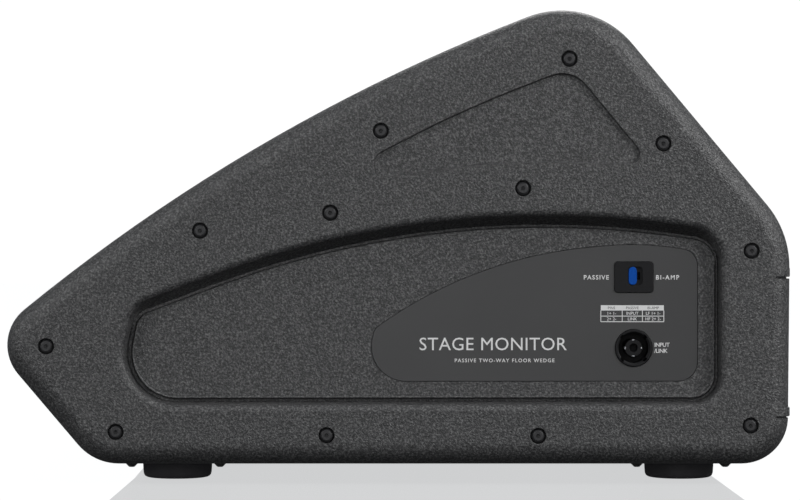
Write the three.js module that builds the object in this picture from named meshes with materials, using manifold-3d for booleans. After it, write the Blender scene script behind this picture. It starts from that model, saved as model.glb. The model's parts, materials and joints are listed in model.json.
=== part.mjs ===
// A passive two-way stage monitor wedge: a wooden cabinet between two moulded cheeks, with a 12-inch
// woofer, a horn and two ports behind a curved steel grille. Millimetres, +Z up.
// The nose, which is low, points to -X, the rear to +X, and the cheek with the controls to -Y.
// The origin is on the floor, under the middle of the wedge. The side view's own heights, used below,
// count from FLOOR_Z, and the finished wedge is lifted so that its feet stand at z = 0.
import * as THREE from "three";
import { mergeVertices } from "three/addons/utils/BufferGeometryUtils.js";
import Module from "manifold-3d";

const wasm = await Module();
wasm.setup();

// ---- Driving dimensions ----

const HALF_WIDTH = 270;
const FLOOR_Z = -5.9;
const GAP = 0.3; // between pieces that touch
const CHORD_ERROR = 0.6; // how far a faceted arc may lie from the true one
const FULL_TURN = 2 * Math.PI;

// The side view, as corners of straight runs and the radius that rounds each: [x, z, radius].
// The second corner, with the large radius, is the long crowned slope that the grille follows.
const CHEEK_CORNERS = [
  [-298.5, 99.3, 31],
  [-107.4, 255.3, 1335],
  [138, 350.5, 67],
  [283.1, 176.9, 70],
  [281.5, 8.8, 34],
  [-221.5, 8.8, 39],
];
const SLOPE_CORNER = 1;
const BACK_SLOPE_CORNERS = [2, 3];
const CHEEK_DEPTH = 30;
const CHEEK_WALL = 5;
const CHEEK_RIM = 10;
const CHEEK_EDGE_RADIUS = 16;
const CHEEK_EDGE_STEPS = 3;
const REAR_CORNER = 4; // the lower end of the upright rear edge

// The long recess in each cheek, and how far its floor lies inside each of its edges.
const RECESS_CORNERS = [
  [-206, 52.5, 37],
  [-193, 123.2, 21],
  [33.5, 207, 690],
  [231.8, 176.5, 23],
  [231.8, 53, 20],
];
const RECESS_FLOOR_INSETS = [5, 8.5, 8.5, 3.8, 4];
const RECESS_DEPTH = 13;
const RECESS_LIP_RADIUS = 6;
const RECESS_LIP_STEPS = 2;

// The shallow three-sided panel above the recess.
const PANEL_CORNERS = [
  [-18, 215.5, 5],
  [-18, 231.5, 12],
  [43.6, 264.7, 900],
  [124.1, 294.7, 22],
  [178, 229.5, 7],
  [166, 226, 3],
  [80, 228, 500],
];
const PANEL_DEPTH = 1.2;

const PLATE_CORNERS = [
  [-26.1, 68.8, 25],
  [-18.1, 106.7, 8.5],
  [54, 157.7, 310],
  [172.7, 169, 205],
  [215.6, 163, 12],
  [215.7, 69, 14],
];
const PLATE_THICKNESS = 2;

const CHEEK_SCREWS = [
  [122.4, 301.5],
  [190.1, 240.4],
  [253.6, 163.1],
  [252.9, 37.2],
  [99.9, 29.8],
  [-52.6, 30.2],
  [-204.6, 32.6],
  [-254.7, 94.3],
  [-143.8, 177.6],
  [-50, 190.5],
  [-13.5, 249.6],
  [89, 208.2],
];
const SCREW_HEAD_RADIUS = 5.2;
const SCREW_HEAD_HEIGHT = 3.2;
const SCREW_SINK = 3.8; // depth of the counterbore that the head sits in
const SCREW_SHANK_RADIUS = 2.5;
const SCREW_HOLE_RADIUS = 3;
const SCREW_TIP_Y = -229.5;
const COUNTERBORE_RADIUS = 5.8;
const BOSS_RADIUS = 8;

// Two low ribs cross each cheek's rear edge, so that the wedge can stand on its back.
const REAR_RIBS = [
  { low: 144.4, high: 151.3 },
  { low: 43.5, high: 50.2 },
];
const REAR_RIB_PROUD = 1.6;
const REAR_RIB_CHAMFER = 1;
const REAR_RIB_WRAP_Y = -261;

// The cabinet: boards that follow the side view, a little inside the cheeks' edge.
const BOARD_INSET = 2;
const BOARD_THICKNESS = 12;
const SIDE_BOARD_THICKNESS = 12;
const CHEEK_INNER_Y = HALF_WIDTH - CHEEK_DEPTH;
const SIDE_BOARD_INNER_Y = CHEEK_INNER_Y - GAP - SIDE_BOARD_THICKNESS;
const CABINET_HALF_WIDTH = SIDE_BOARD_INNER_Y - GAP;
// The boards meet along lines that fan out from this point; angles in degrees from +X.
const FAN_CENTRE = [60, 130];
const BOARD_SPANS = {
  apex_rail: [56.3, 81.2],
  back_panel: [19.5, 56.2],
  rear_panel: [-30.4, 19.4],
  base_panel: [192.1, 329.5],
  nose_rail: [181.3, 192],
};
const GRILLE_SPAN = [81.7, 180.8];
const FOAM_SPAN = [84, 178.5];
const GRILLE_THICKNESS = 1.6;
const FOAM_THICKNESS = 4;

const BAFFLE_THICKNESS = 15;
const BAFFLE_BELOW_CHORD = 12;

// Places on the baffle: x runs up the slope from its middle, y is across the wedge.
const WOOFER_PLACE = [0, 70];
const HORN_PLACE = [0, -155];
const PORT_PLACES = [
  [-138, -155],
  [138, -155],
];

const FOOT_RADIUS = 26;
const FOOT_PLACES = [
  { name: "foot_front_control_side", x: -166.3, y: -188 },
  { name: "foot_rear_control_side", x: 209.2, y: -188 },
  { name: "foot_front_far_side", x: -166.3, y: 188 },
  { name: "foot_rear_far_side", x: 209.2, y: 188 },
];
const FOOT_WELL = { radius: 7.5, depth: 10 }; // the hollow in the foot for its screw
const FOOT_SCREW_HOLE_RADIUS = 3;
// A shallow rim stands round each foot, and four lugs on it reach lower, two to the front of the foot
// and two to its rear.
const FOOT_RIM = { radius: 36.6, crest: 3.4, base: 5, lowZ: 7.4 };
const FOOT_LUG = { lowZ: 2.6, lowRadius: 2.3, shoulderZ: 5, highRadius: 4.6, bearingDegrees: 26.3 };

const SOCKET = {
  x: 169.5,
  z: 92.8,
  radius: 13.4,
  bore: 11.6,
  core: 6.4,
  length: 34,
  boreDepth: 26,
  coreSetBack: 3,
};
const SWITCH = { x: 169.6, z: 144.2, width: 28.1, height: 22.3, corner: 2, length: 29 };
const SLIDER = {
  x: 168.7,
  z: 145,
  width: 6.1,
  height: 13.1,
  corner: 1.2,
  travel: 4,
  setBack: 0.8,
  depth: 8.7,
};
const SLIDER_CLEARANCE = 0.35;
const PLATE_PROUD = 1; // how far the socket and switch stand out of the label plate

// The holes in the side boards, for what stands behind the label plates.
const WINDOW = { low: [144, 72], high: [192, 162], highWithoutSwitch: 115 };

const HANDLE = {
  down: 127, // from the top of the back slope to the handle's middle
  length: 176,
  height: 78,
  corner: 14,
  depth: 50,
  wall: 3,
  lip: 11,
  lipCorner: 24,
  lipThickness: 1.6,
};

// ---- Materials ----

const material = (color, roughness, metalness = 0) => {
  return new THREE.MeshStandardMaterial({ color, roughness, metalness });
};
const texturedBlack = material(0x46474a, 0.75);
const plateGrey = material(0x434345, 0.5);
const moulded = material(0x1c1c1f, 0.5);
const rubber = material(0x161618, 0.85);
const blackSteel = material(0x1d1d20, 0.45, 0.8);
const steel = material(0x8d8f94, 0.35, 1);
const ferrite = material(0x2b2b2f, 0.7, 0.2);
const paper = material(0x2a2826, 0.9);
const foam = material(0x141416, 1);
const plywood = material(0xb58d5a, 0.7);
const copper = material(0xb4693a, 0.35, 1);
const circuitGreen = material(0x1f5a35, 0.6);
const sliderBlue = material(0x1c4c8c, 0.4);
const cableBlack = material(0x101012, 0.6);

// ---- Geometry helpers ----

// Where the arc that rounds a corner starts, its centre, and how far it turns.
// Insets move each straight run inwards: one number for all of them, or a list with one for each.
function cornerArcs(corners, inset = 0) {
  const count = corners.length;
  const insets = Array.isArray(inset) ? inset : corners.map(() => inset);
  const windingSign = Math.sign(THREE.ShapeUtils.area(corners.map(([x, z]) => new THREE.Vector2(x, z))));
  const runs = corners.map(([x, z], i) => {
    const [nextX, nextZ] = corners[(i + 1) % count];
    const along = new THREE.Vector2(nextX - x, nextZ - z).normalize();
    const inward = new THREE.Vector2(-along.y, along.x).multiplyScalar(insets[i] * windingSign);
    return { start: new THREE.Vector2(x, z).add(inward), along, inset: insets[i] };
  });
  return corners.map(([, , radius], i) => {
    const before = runs[(i + count - 1) % count];
    const after = runs[i];
    const turn = Math.atan2(before.along.cross(after.along), before.along.dot(after.along));
    const between = after.start.clone().sub(before.start);
    const reach = between.cross(after.along) / before.along.cross(after.along);
    const corner = before.start.clone().addScaledVector(before.along, reach);
    const shrink = ((before.inset + after.inset) / 2) * Math.sign(turn) * windingSign;
    const bend = Math.max(radius - shrink, 0.1);
    const from = corner.clone().addScaledVector(before.along, -bend * Math.tan(Math.abs(turn) / 2));
    const sideways = new THREE.Vector2(-before.along.y, before.along.x);
    const centre = from.clone().addScaledVector(sideways, bend * Math.sign(turn));
    return { from, centre, turn, radius };
  });
}

// A closed outline of straight runs with every corner rounded by an arc.
function roundedOutline(corners, inset = 0) {
  return cornerArcs(corners, inset).flatMap(({ from, centre, turn, radius }) => {
    const stepAngle = 2 * Math.acos(1 - Math.min(CHORD_ERROR / radius, 0.5));
    const steps = Math.max(1, Math.ceil(Math.abs(turn) / stepAngle));
    return Array.from({ length: steps + 1 }, (_, k) => from.clone().rotateAround(centre, (turn * k) / steps));
  });
}

function rectangle(width, height, radius, x = 0, z = 0) {
  const corners = [[-1, -1], [1, -1], [1, 1], [-1, 1]];
  return roundedOutline(corners.map(([i, j]) => [x + (i * width) / 2, z + (j * height) / 2, radius]));
}

function circle(x, z, radius, sides) {
  return Array.from({ length: sides }, (_, k) => {
    const angle = (FULL_TURN * (k + 0.5)) / sides;
    return new THREE.Vector2(x + radius * Math.cos(angle), z + radius * Math.sin(angle));
  });
}

function extruded(outline, depth) {
  return new THREE.ExtrudeGeometry(new THREE.Shape(outline), { depth, bevelEnabled: false });
}

// A side-view outline given thickness across the wedge, from one y to another.
function slab(outline, lowY, highY) {
  return extruded(outline, highY - lowY).rotateX(Math.PI / 2).translate(0, highY, 0);
}

// An outline in the plane of a board, given thickness along local z.
function plate(outline, lowZ, highZ) {
  return extruded(outline, highZ - lowZ).translate(0, 0, lowZ);
}

// A closed skin through matching convex outlines, each at its own y. The first and last are filled
// by a fan of faces round their middle.
function stack(layers) {
  const clockwise = THREE.ShapeUtils.isClockWise(layers[0].outline);
  const outlines = layers.map(({ outline }) => (clockwise ? [...outline].reverse() : outline));
  const count = outlines[0].length;
  const positions = outlines.flatMap((outline, layer) => {
    return outline.flatMap(({ x, y }) => [x, layers[layer].y, y]);
  });
  const index = [];
  for (let layer = 0; layer + 1 < layers.length; layer++) {
    for (let k = 0; k < count; k++) {
      const a = layer * count + k;
      const b = layer * count + ((k + 1) % count);
      index.push(a, b, a + count, b, b + count, a + count);
    }
  }
  const lastStart = (layers.length - 1) * count;
  for (const [start, end] of [[0, 0], [lastStart, layers.length - 1]]) {
    const middle = new THREE.Vector2();
    for (const point of outlines[end]) middle.addScaledVector(point, 1 / count);
    const hub = positions.length / 3;
    positions.push(middle.x, layers[end].y, middle.y);
    for (let k = 0; k < count; k++) {
      const rim = [start + k, start + ((k + 1) % count)];
      index.push(hub, ...(end === 0 ? rim.reverse() : rim));
    }
  }
  const geometry = new THREE.BufferGeometry();
  geometry.setAttribute("position", new THREE.Float32BufferAttribute(positions, 3));
  return geometry.setIndex(index);
}

// A turned piece about local z: the profile's points are [radius, z].
function turned(profile, segments) {
  const points = profile.map(([radius, z]) => new THREE.Vector2(radius, z));
  return new THREE.LatheGeometry(points, segments).rotateX(Math.PI / 2);
}

// A turned piece about the y axis, such as a socket or a screw in a cheek.
function turnedAcross(profile, segments, x, z) {
  const points = profile.map(([radius, y]) => new THREE.Vector2(radius, y));
  return new THREE.LatheGeometry(points, segments).translate(x, 0, z);
}

function box(lowCorner, highCorner) {
  const low = new THREE.Vector3(...lowCorner);
  const size = new THREE.Vector3(...highCorner).sub(low);
  return new THREE.BoxGeometry(size.x, size.y, size.z).translate(...low.addScaledVector(size, 0.5));
}

// The manifold solid of a closed geometry, turned outwards if its faces point in.
function solid(geometry) {
  const bare = geometry.clone().deleteAttribute("normal").deleteAttribute("uv");
  const merged = mergeVertices(bare, 1e-3);
  const vertProperties = merged.attributes.position.array;
  const triVerts = new Uint32Array(merged.index.array);
  const made = new wasm.Manifold(new wasm.Mesh({ numProp: 3, vertProperties, triVerts }));
  if (made.volume() > 0) return made;
  for (let i = 0; i < triVerts.length; i += 3) {
    [triVerts[i + 1], triVerts[i + 2]] = [triVerts[i + 2], triVerts[i + 1]];
  }
  return new wasm.Manifold(new wasm.Mesh({ numProp: 3, vertProperties, triVerts }));
}

function geometryOf(shape) {
  const mesh = shape.getMesh();
  const positions = new Float32Array(mesh.numVert * 3);
  for (let i = 0; i < mesh.numVert; i++) {
    positions.set(mesh.vertProperties.subarray(i * mesh.numProp, i * mesh.numProp + 3), i * 3);
  }
  const geometry = new THREE.BufferGeometry();
  geometry.setAttribute("position", new THREE.BufferAttribute(positions, 3));
  return geometry.setIndex(new THREE.BufferAttribute(new Uint32Array(mesh.triVerts), 1));
}

const cut = (body, ...tools) => tools.reduce((left, tool) => left.subtract(solid(tool)), body);
const join = (body, ...extras) => extras.reduce((whole, extra) => whole.add(solid(extra)), body);

const wedge = new THREE.Group();

// Adds a named piece to a group from a geometry, or from a manifold solid.
function add(group, name, shape, look) {
  const geometry = shape.isBufferGeometry ? geometryOf(solid(shape)) : geometryOf(shape);
  const mesh = new THREE.Mesh(geometry, look);
  mesh.name = name;
  group.add(mesh);
  return mesh;
}

// ---- Cheeks, their label plates and screws ----

const recessFloorY = -(HALF_WIDTH - RECESS_DEPTH);

// The cheek's full outer shape, with its outer edge rounded, before anything is cut into it.
function cheekBlank() {
  const layers = [{ outline: roundedOutline(CHEEK_CORNERS), y: -CHEEK_INNER_Y }];
  for (let k = 0; k <= CHEEK_EDGE_STEPS; k++) {
    const lean = ((k / CHEEK_EDGE_STEPS) * Math.PI) / 2;
    layers.push({
      outline: roundedOutline(CHEEK_CORNERS, CHEEK_EDGE_RADIUS * (1 - Math.cos(lean))),
      y: -(HALF_WIDTH - CHEEK_EDGE_RADIUS * (1 - Math.sin(lean))),
    });
  }
  return solid(stack(layers));
}

// The space that the recess takes out: a rounded lip, then a wall that leans in to the floor.
function recessTool() {
  const layers = [{ outline: roundedOutline(RECESS_CORNERS, -RECESS_LIP_RADIUS), y: -(HALF_WIDTH + 1) }];
  for (let k = 0; k <= RECESS_LIP_STEPS; k++) {
    const lean = ((k / RECESS_LIP_STEPS) * Math.PI) / 2;
    layers.push({
      outline: roundedOutline(RECESS_CORNERS, -RECESS_LIP_RADIUS * (1 - Math.sin(lean))),
      y: -(HALF_WIDTH - RECESS_LIP_RADIUS * (1 - Math.cos(lean))),
    });
  }
  layers.push({ outline: roundedOutline(RECESS_CORNERS, RECESS_FLOOR_INSETS), y: recessFloorY });
  return stack(layers);
}

// The hollow behind the cheek, which leaves a wall behind the recess and a boss for each screw.
function cheekHollow() {
  const deepY = -(HALF_WIDTH - CHEEK_WALL);
  const hollow = solid(slab(roundedOutline(CHEEK_CORNERS, CHEEK_RIM), deepY, -CHEEK_INNER_Y + 1));
  const recessBack = slab(
    roundedOutline(RECESS_CORNERS, -(RECESS_LIP_RADIUS + CHEEK_WALL)),
    deepY - 1,
    recessFloorY + CHEEK_WALL,
  );
  const bosses = CHEEK_SCREWS.map(([x, z]) => {
    return slab(circle(x, z, BOSS_RADIUS, 8), deepY - 1, -CHEEK_INNER_Y + 2);
  });
  return cut(hollow, recessBack, ...bosses);
}

// A flat-topped rib with chamfered edges, standing out of the cheek's rear.
function rearRib({ low, high }) {
  const rearX = CHEEK_CORNERS[REAR_CORNER][0];
  const rootX = rearX - CHEEK_RIM / 2;
  const crestX = rearX + REAR_RIB_PROUD;
  const outline = [
    new THREE.Vector2(rootX, low),
    new THREE.Vector2(crestX - REAR_RIB_CHAMFER, low),
    new THREE.Vector2(crestX, low + REAR_RIB_CHAMFER),
    new THREE.Vector2(crestX, high - REAR_RIB_CHAMFER),
    new THREE.Vector2(crestX - REAR_RIB_CHAMFER, high),
    new THREE.Vector2(rootX, high),
  ];
  return slab(outline, REAR_RIB_WRAP_Y, -CHEEK_INNER_Y);
}

// The holes through a cheek and its label plate for the socket and, on one side, the switch.
function connectorHoles(hasSwitch) {
  const socketOutline = circle(SOCKET.x, SOCKET.z, SOCKET.radius + 2 * GAP, 20);
  const width = SWITCH.width + 2 * GAP;
  const height = SWITCH.height + 2 * GAP;
  const switchOutline = rectangle(width, height, SWITCH.corner, SWITCH.x, SWITCH.z);
  const outlines = hasSwitch ? [socketOutline, switchOutline] : [socketOutline];
  return outlines.map((outline) => slab(outline, -HALF_WIDTH, -CHEEK_INNER_Y));
}

function cheek(hasSwitch) {
  const holes = CHEEK_SCREWS.flatMap(([x, z]) => [
    slab(circle(x, z, COUNTERBORE_RADIUS, 8), -(HALF_WIDTH + 1), -(HALF_WIDTH - SCREW_SINK)),
    slab(circle(x, z, SCREW_HOLE_RADIUS, 6), -(HALF_WIDTH + 1), -CHEEK_INNER_Y + 1),
  ]);
  const panel = slab(roundedOutline(PANEL_CORNERS), -(HALF_WIDTH + 1), -(HALF_WIDTH - PANEL_DEPTH));
  const ribbed = join(cheekBlank(), ...REAR_RIBS.map(rearRib));
  const hollowed = ribbed.subtract(cheekHollow());
  return cut(hollowed, recessTool(), panel, ...connectorHoles(hasSwitch), ...holes);
}

function labelPlate(hasSwitch) {
  const backY = recessFloorY - GAP;
  const sheet = slab(roundedOutline(PLATE_CORNERS), backY - PLATE_THICKNESS, backY);
  return cut(solid(sheet), ...connectorHoles(hasSwitch));
}

// A button-head screw, pointing into the cheek.
function cheekScrew([x, z]) {
  const seatY = -(HALF_WIDTH - SCREW_SINK) - GAP;
  const topY = seatY - SCREW_HEAD_HEIGHT;
  const profile = [
    [0, topY],
    [SCREW_HEAD_RADIUS - 1.2, topY],
    [SCREW_HEAD_RADIUS, topY + 1.2],
    [SCREW_HEAD_RADIUS, seatY],
    [SCREW_SHANK_RADIUS, seatY],
    [SCREW_SHANK_RADIUS, SCREW_TIP_Y],
    [0, SCREW_TIP_Y],
  ];
  return turnedAcross(profile, 8, x, z);
}

add(wedge, "control_cheek", cheek(true), texturedBlack);
add(wedge, "far_cheek", cheek(false), texturedBlack).scale.set(1, -1, 1);
add(wedge, "control_plate", labelPlate(true), plateGrey);
add(wedge, "far_plate", labelPlate(false), plateGrey).scale.set(1, -1, 1);
CHEEK_SCREWS.forEach((place, i) => add(wedge, `cheek_screw_${i + 1}`, cheekScrew(place), blackSteel));

// ---- Loudspeaker sockets and the selector switch ----

const faceY = recessFloorY - GAP - PLATE_THICKNESS - PLATE_PROUD;

// A round socket that the plug's collar enters, round a central core.
function socketShell() {
  const floorY = faceY + SOCKET.boreDepth;
  const profile = [
    [SOCKET.bore, faceY],
    [SOCKET.radius, faceY],
    [SOCKET.radius, faceY + SOCKET.length],
    [0, faceY + SOCKET.length],
    [0, floorY],
    [SOCKET.bore, floorY],
    [SOCKET.bore, faceY],
  ];
  return turnedAcross(profile, 16, SOCKET.x, SOCKET.z);
}

function socketCore() {
  const backY = faceY + SOCKET.boreDepth - GAP;
  const frontY = faceY + SOCKET.coreSetBack;
  const profile = [[0, frontY], [SOCKET.core, frontY], [SOCKET.core, backY], [0, backY]];
  return turnedAcross(profile, 16, SOCKET.x, SOCKET.z);
}

add(wedge, "control_socket_shell", socketShell(), moulded);
add(wedge, "control_socket_core", socketCore(), moulded);
add(wedge, "far_socket_shell", socketShell(), moulded).scale.set(1, -1, 1);
add(wedge, "far_socket_core", socketCore(), moulded).scale.set(1, -1, 1);

// The slider stands in a slot that is longer than it is by its travel.
function switchBody() {
  const outline = rectangle(SWITCH.width, SWITCH.height, SWITCH.corner, SWITCH.x, SWITCH.z);
  const halfWidth = SLIDER.width / 2 + SLIDER_CLEARANCE;
  const halfHeight = SLIDER.height / 2 + SLIDER_CLEARANCE;
  const slotFloorY = faceY + SLIDER.depth + 2 * SLIDER_CLEARANCE;
  const slot = box(
    [SLIDER.x - halfWidth, faceY - 1, SLIDER.z - halfHeight],
    [SLIDER.x + halfWidth + SLIDER.travel, slotFloorY, SLIDER.z + halfHeight],
  );
  return cut(solid(slab(outline, faceY, faceY + SWITCH.length)), slot);
}

function switchSlider() {
  const outline = rectangle(SLIDER.width, SLIDER.height, SLIDER.corner, SLIDER.x, SLIDER.z);
  return slab(outline, faceY + SLIDER.setBack, faceY + SLIDER.depth);
}

add(wedge, "selector_switch_body", switchBody(), moulded);
add(wedge, "selector_switch_slider", switchSlider(), sliderBlue);

// ---- Cabinet boards, grille and feet ----

// The wedge of space between two lines that leave the fan centre, across the whole width.
function fanSector([fromDegrees, toDegrees]) {
  const reach = 900;
  const steps = 4;
  const [x, z] = FAN_CENTRE;
  const outline = [new THREE.Vector2(x, z)];
  for (let k = 0; k <= steps; k++) {
    const angle = THREE.MathUtils.degToRad(fromDegrees + ((toDegrees - fromDegrees) * k) / steps);
    outline.push(new THREE.Vector2(x + reach * Math.cos(angle), z + reach * Math.sin(angle)));
  }
  return solid(slab(outline, -HALF_WIDTH, HALF_WIDTH));
}

// A sheet that follows the side view, from one depth below the cheeks' edge to another.
function followingSheet(outerInset, innerInset, halfWidth, span) {
  const outer = solid(slab(roundedOutline(CHEEK_CORNERS, outerInset), -halfWidth, halfWidth));
  const inner = slab(roundedOutline(CHEEK_CORNERS, innerInset), -halfWidth - 1, halfWidth + 1);
  return cut(outer, inner).intersect(fanSector(span));
}

const board = (name) => {
  const innerInset = BOARD_INSET + BOARD_THICKNESS;
  return followingSheet(BOARD_INSET, innerInset, CABINET_HALF_WIDTH, BOARD_SPANS[name]);
};

// A side board, with a hole for what stands behind the label plate and for each cheek screw.
function sideBoard(windowTop) {
  const [lowX, lowZ] = WINDOW.low;
  const outline = roundedOutline(CHEEK_CORNERS, BOARD_INSET);
  const body = solid(slab(outline, -CHEEK_INNER_Y + GAP, -SIDE_BOARD_INNER_Y));
  const window = box([lowX, -HALF_WIDTH, lowZ], [WINDOW.high[0], 0, windowTop]);
  const holes = CHEEK_SCREWS.map(([x, z]) => slab(circle(x, z, SCREW_HOLE_RADIUS, 6), -HALF_WIDTH, 0));
  return cut(body, window, ...holes);
}

const boardUndersideZ = CHEEK_CORNERS[REAR_CORNER][1] + BOARD_INSET;

// The base, with the rim and lugs that stand round each foot.
function basePanel() {
  const topZ = boardUndersideZ + 2;
  const rimSection = [
    [FOOT_RIM.radius - FOOT_RIM.crest / 2, FOOT_RIM.lowZ],
    [FOOT_RIM.radius + FOOT_RIM.crest / 2, FOOT_RIM.lowZ],
    [FOOT_RIM.radius + FOOT_RIM.base / 2, topZ],
    [FOOT_RIM.radius - FOOT_RIM.base / 2, topZ],
  ];
  const rim = turned([...rimSection, rimSection[0]], 16);
  const lugSection = [
    [0, FOOT_LUG.lowZ],
    [FOOT_LUG.lowRadius, FOOT_LUG.lowZ],
    [FOOT_LUG.highRadius, FOOT_LUG.shoulderZ],
    [FOOT_LUG.highRadius, topZ],
    [0, topZ],
  ];
  const lug = turned(lugSection, 8);
  const alongX = FOOT_RIM.radius * Math.cos(THREE.MathUtils.degToRad(FOOT_LUG.bearingDegrees));
  const acrossY = FOOT_RIM.radius * Math.sin(THREE.MathUtils.degToRad(FOOT_LUG.bearingDegrees));
  const surrounds = FOOT_PLACES.flatMap(({ x, y }) => [
    rim.clone().translate(x, y, 0),
    lug.clone().translate(x - alongX, y - acrossY, 0),
    lug.clone().translate(x - alongX, y + acrossY, 0),
    lug.clone().translate(x + alongX, y - acrossY, 0),
    lug.clone().translate(x + alongX, y + acrossY, 0),
  ]);
  return join(board("base_panel"), ...surrounds);
}

// A rubber foot with a deep hollow for its screw, standing on the floor.
function foot() {
  const topZ = boardUndersideZ - GAP;
  const wellTopZ = FLOOR_Z + FOOT_WELL.depth;
  return turned(
    [
      [FOOT_SCREW_HOLE_RADIUS, topZ],
      [FOOT_SCREW_HOLE_RADIUS, wellTopZ],
      [FOOT_WELL.radius, wellTopZ],
      [FOOT_WELL.radius, FLOOR_Z],
      [FOOT_RADIUS - 4, FLOOR_Z],
      [FOOT_RADIUS - 1, FLOOR_Z + 2.6],
      [FOOT_RADIUS, topZ],
      [FOOT_SCREW_HOLE_RADIUS, topZ],
    ],
    16,
  );
}

const slopeArc = cornerArcs(CHEEK_CORNERS)[SLOPE_CORNER];
const slopeStart = slopeArc.from;
const slopeEnd = slopeArc.from.clone().rotateAround(slopeArc.centre, slopeArc.turn);
const slopeAngle = slopeEnd.clone().sub(slopeStart).angle();
const [backTop, backBottom] = BACK_SLOPE_CORNERS.map((i) => {
  const [x, z] = CHEEK_CORNERS[i];
  return new THREE.Vector2(x, z);
});
const backAngle = -backBottom.clone().sub(backTop).angle();

// The baffle's own frame: x up the slope, z out through the grille, origin on its front face.
const onBaffle = new THREE.Group();
onBaffle.rotation.y = -slopeAngle;
onBaffle.position.set((slopeStart.x + slopeEnd.x) / 2, 0, (slopeStart.y + slopeEnd.y) / 2);
onBaffle.translateZ(-BAFFLE_BELOW_CHORD);
onBaffle.updateMatrix();

// The back slope's own frame: x down the slope, z outwards, origin on the face of its panel.
const onBack = new THREE.Group();
onBack.rotation.y = backAngle;
onBack.position.set(backTop.x, 0, backTop.y);
onBack.translateX(HANDLE.down);
onBack.translateZ(-BOARD_INSET);
onBack.updateMatrix();

wedge.add(onBaffle, onBack);

function backPanel() {
  const outline = rectangle(HANDLE.height + 2 * GAP, HANDLE.length + 2 * GAP, HANDLE.corner);
  const hole = plate(outline, -2 * BOARD_THICKNESS, BOARD_THICKNESS);
  return cut(board("back_panel"), hole.applyMatrix4(onBack.matrix));
}

add(wedge, "nose_rail", board("nose_rail"), texturedBlack);
add(wedge, "base_panel", basePanel(), texturedBlack);
add(wedge, "rear_panel", board("rear_panel"), texturedBlack);
add(wedge, "back_panel", backPanel(), texturedBlack);
add(wedge, "apex_rail", board("apex_rail"), texturedBlack);
add(wedge, "control_side_board", sideBoard(WINDOW.high[1]), plywood);
add(wedge, "far_side_board", sideBoard(WINDOW.highWithoutSwitch), plywood).scale.set(1, -1, 1);
for (const { name, x, y } of FOOT_PLACES) add(wedge, name, foot(), rubber).position.set(x, y, 0);

const grilleBack = BOARD_INSET + GRILLE_THICKNESS;
const foamFront = grilleBack + GAP;
const foamBack = foamFront + FOAM_THICKNESS;
const grilleSheet = followingSheet(BOARD_INSET, grilleBack, CABINET_HALF_WIDTH - 1, GRILLE_SPAN);
const foamSheet = followingSheet(foamFront, foamBack, CABINET_HALF_WIDTH - 6, FOAM_SPAN);
add(wedge, "grille", grilleSheet, blackSteel);
add(wedge, "grille_foam", foamSheet, foam);

// ---- Handle ----

// A pocket that the fingers reach into, with a thin lip on the face of the back panel.
function handleCup() {
  const { length, height, corner, depth, wall, lip, lipCorner, lipThickness } = HANDLE;
  const flange = plate(rectangle(height + 2 * lip, length + 2 * lip, lipCorner), GAP, GAP + lipThickness);
  const tub = plate(rectangle(height, length, corner), -depth, 1);
  const pocket = plate(rectangle(height - 2 * wall, length - 2 * wall, corner - wall), wall - depth, depth);
  return cut(join(solid(flange), tub), pocket);
}

add(onBack, "handle_cup", handleCup(), moulded);

// ---- Baffle ----

const WOOFER = { frame: 152.5, hole: 143, cone: 120, coil: 26, depth: 72 };
const HORN = { width: 128, height: 200, hole: [110, 182], mouth: [104, 176], throat: 13, depth: 95, wall: 3 };
const HF_DRIVER = { radius: 45, bodyDepth: 34 };
const PORT = { flange: 36, outer: 28.5, inner: 26, length: 88, front: 3 };

function baffle() {
  const [wooferX, wooferY] = WOOFER_PLACE;
  const [hornX, hornY] = HORN_PLACE;
  const deep = -BAFFLE_THICKNESS - 5;
  const halfWidth = CABINET_HALF_WIDTH - GAP;
  const sheet = box([-230, -halfWidth, -BAFFLE_THICKNESS], [230, halfWidth, 0]).applyMatrix4(onBaffle.matrix);
  const innerInset = BOARD_INSET + BOARD_THICKNESS + GAP;
  const inside = slab(roundedOutline(CHEEK_CORNERS, innerInset), -HALF_WIDTH, HALF_WIDTH);
  const holes = [
    plate(circle(wooferX, wooferY, WOOFER.hole, 32), deep, 5),
    plate(rectangle(HORN.hole[1], HORN.hole[0], 8, hornX, hornY), deep, 5),
    ...PORT_PLACES.map(([x, y]) => plate(circle(x, y, PORT.outer + 0.8, 20), deep, 5)),
  ];
  for (const hole of holes) hole.applyMatrix4(onBaffle.matrix);
  return cut(solid(sheet).intersect(solid(inside)), ...holes);
}

add(wedge, "baffle", baffle(), plywood);

// ---- Woofer: everything is turned about its own axis, z = 0 on the baffle's face ----

const woofer = new THREE.Group();
woofer.position.set(...WOOFER_PLACE, 0);
onBaffle.add(woofer);

const FINE = 24;
const COARSE = 16;
const basketFloor = -WOOFER.depth;

// The pressed steel basket: a flange, then a bowl with six windows.
function wooferBasket() {
  const bowl = turned(
    [
      [WOOFER.frame, GAP],
      [WOOFER.frame, 4.3],
      [140, 4.3],
      [140, 0.6],
      [132, 0.6],
      [72, basketFloor + 6],
      [38, basketFloor + 3],
      [38, basketFloor],
      [73, basketFloor],
      [138, -4],
      [141.5, GAP],
      [WOOFER.frame, GAP],
    ],
    FINE,
  );
  const windowCount = 6;
  const windows = Array.from({ length: windowCount }, (_, k) => {
    const tool = box([82, -28, basketFloor + 16], [128, 28, -14]);
    return tool.rotateZ((FULL_TURN * (k + 0.5)) / windowCount);
  });
  return cut(solid(bowl), ...windows);
}

const plateTop = basketFloor - GAP;
const magnetTop = plateTop - 8 - GAP;
const yokeTop = magnetTop - 20 - GAP;
const ring = (inner, outer, low, high) => {
  return [[inner, low], [outer, low], [outer, high], [inner, high], [inner, low]];
};

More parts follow.
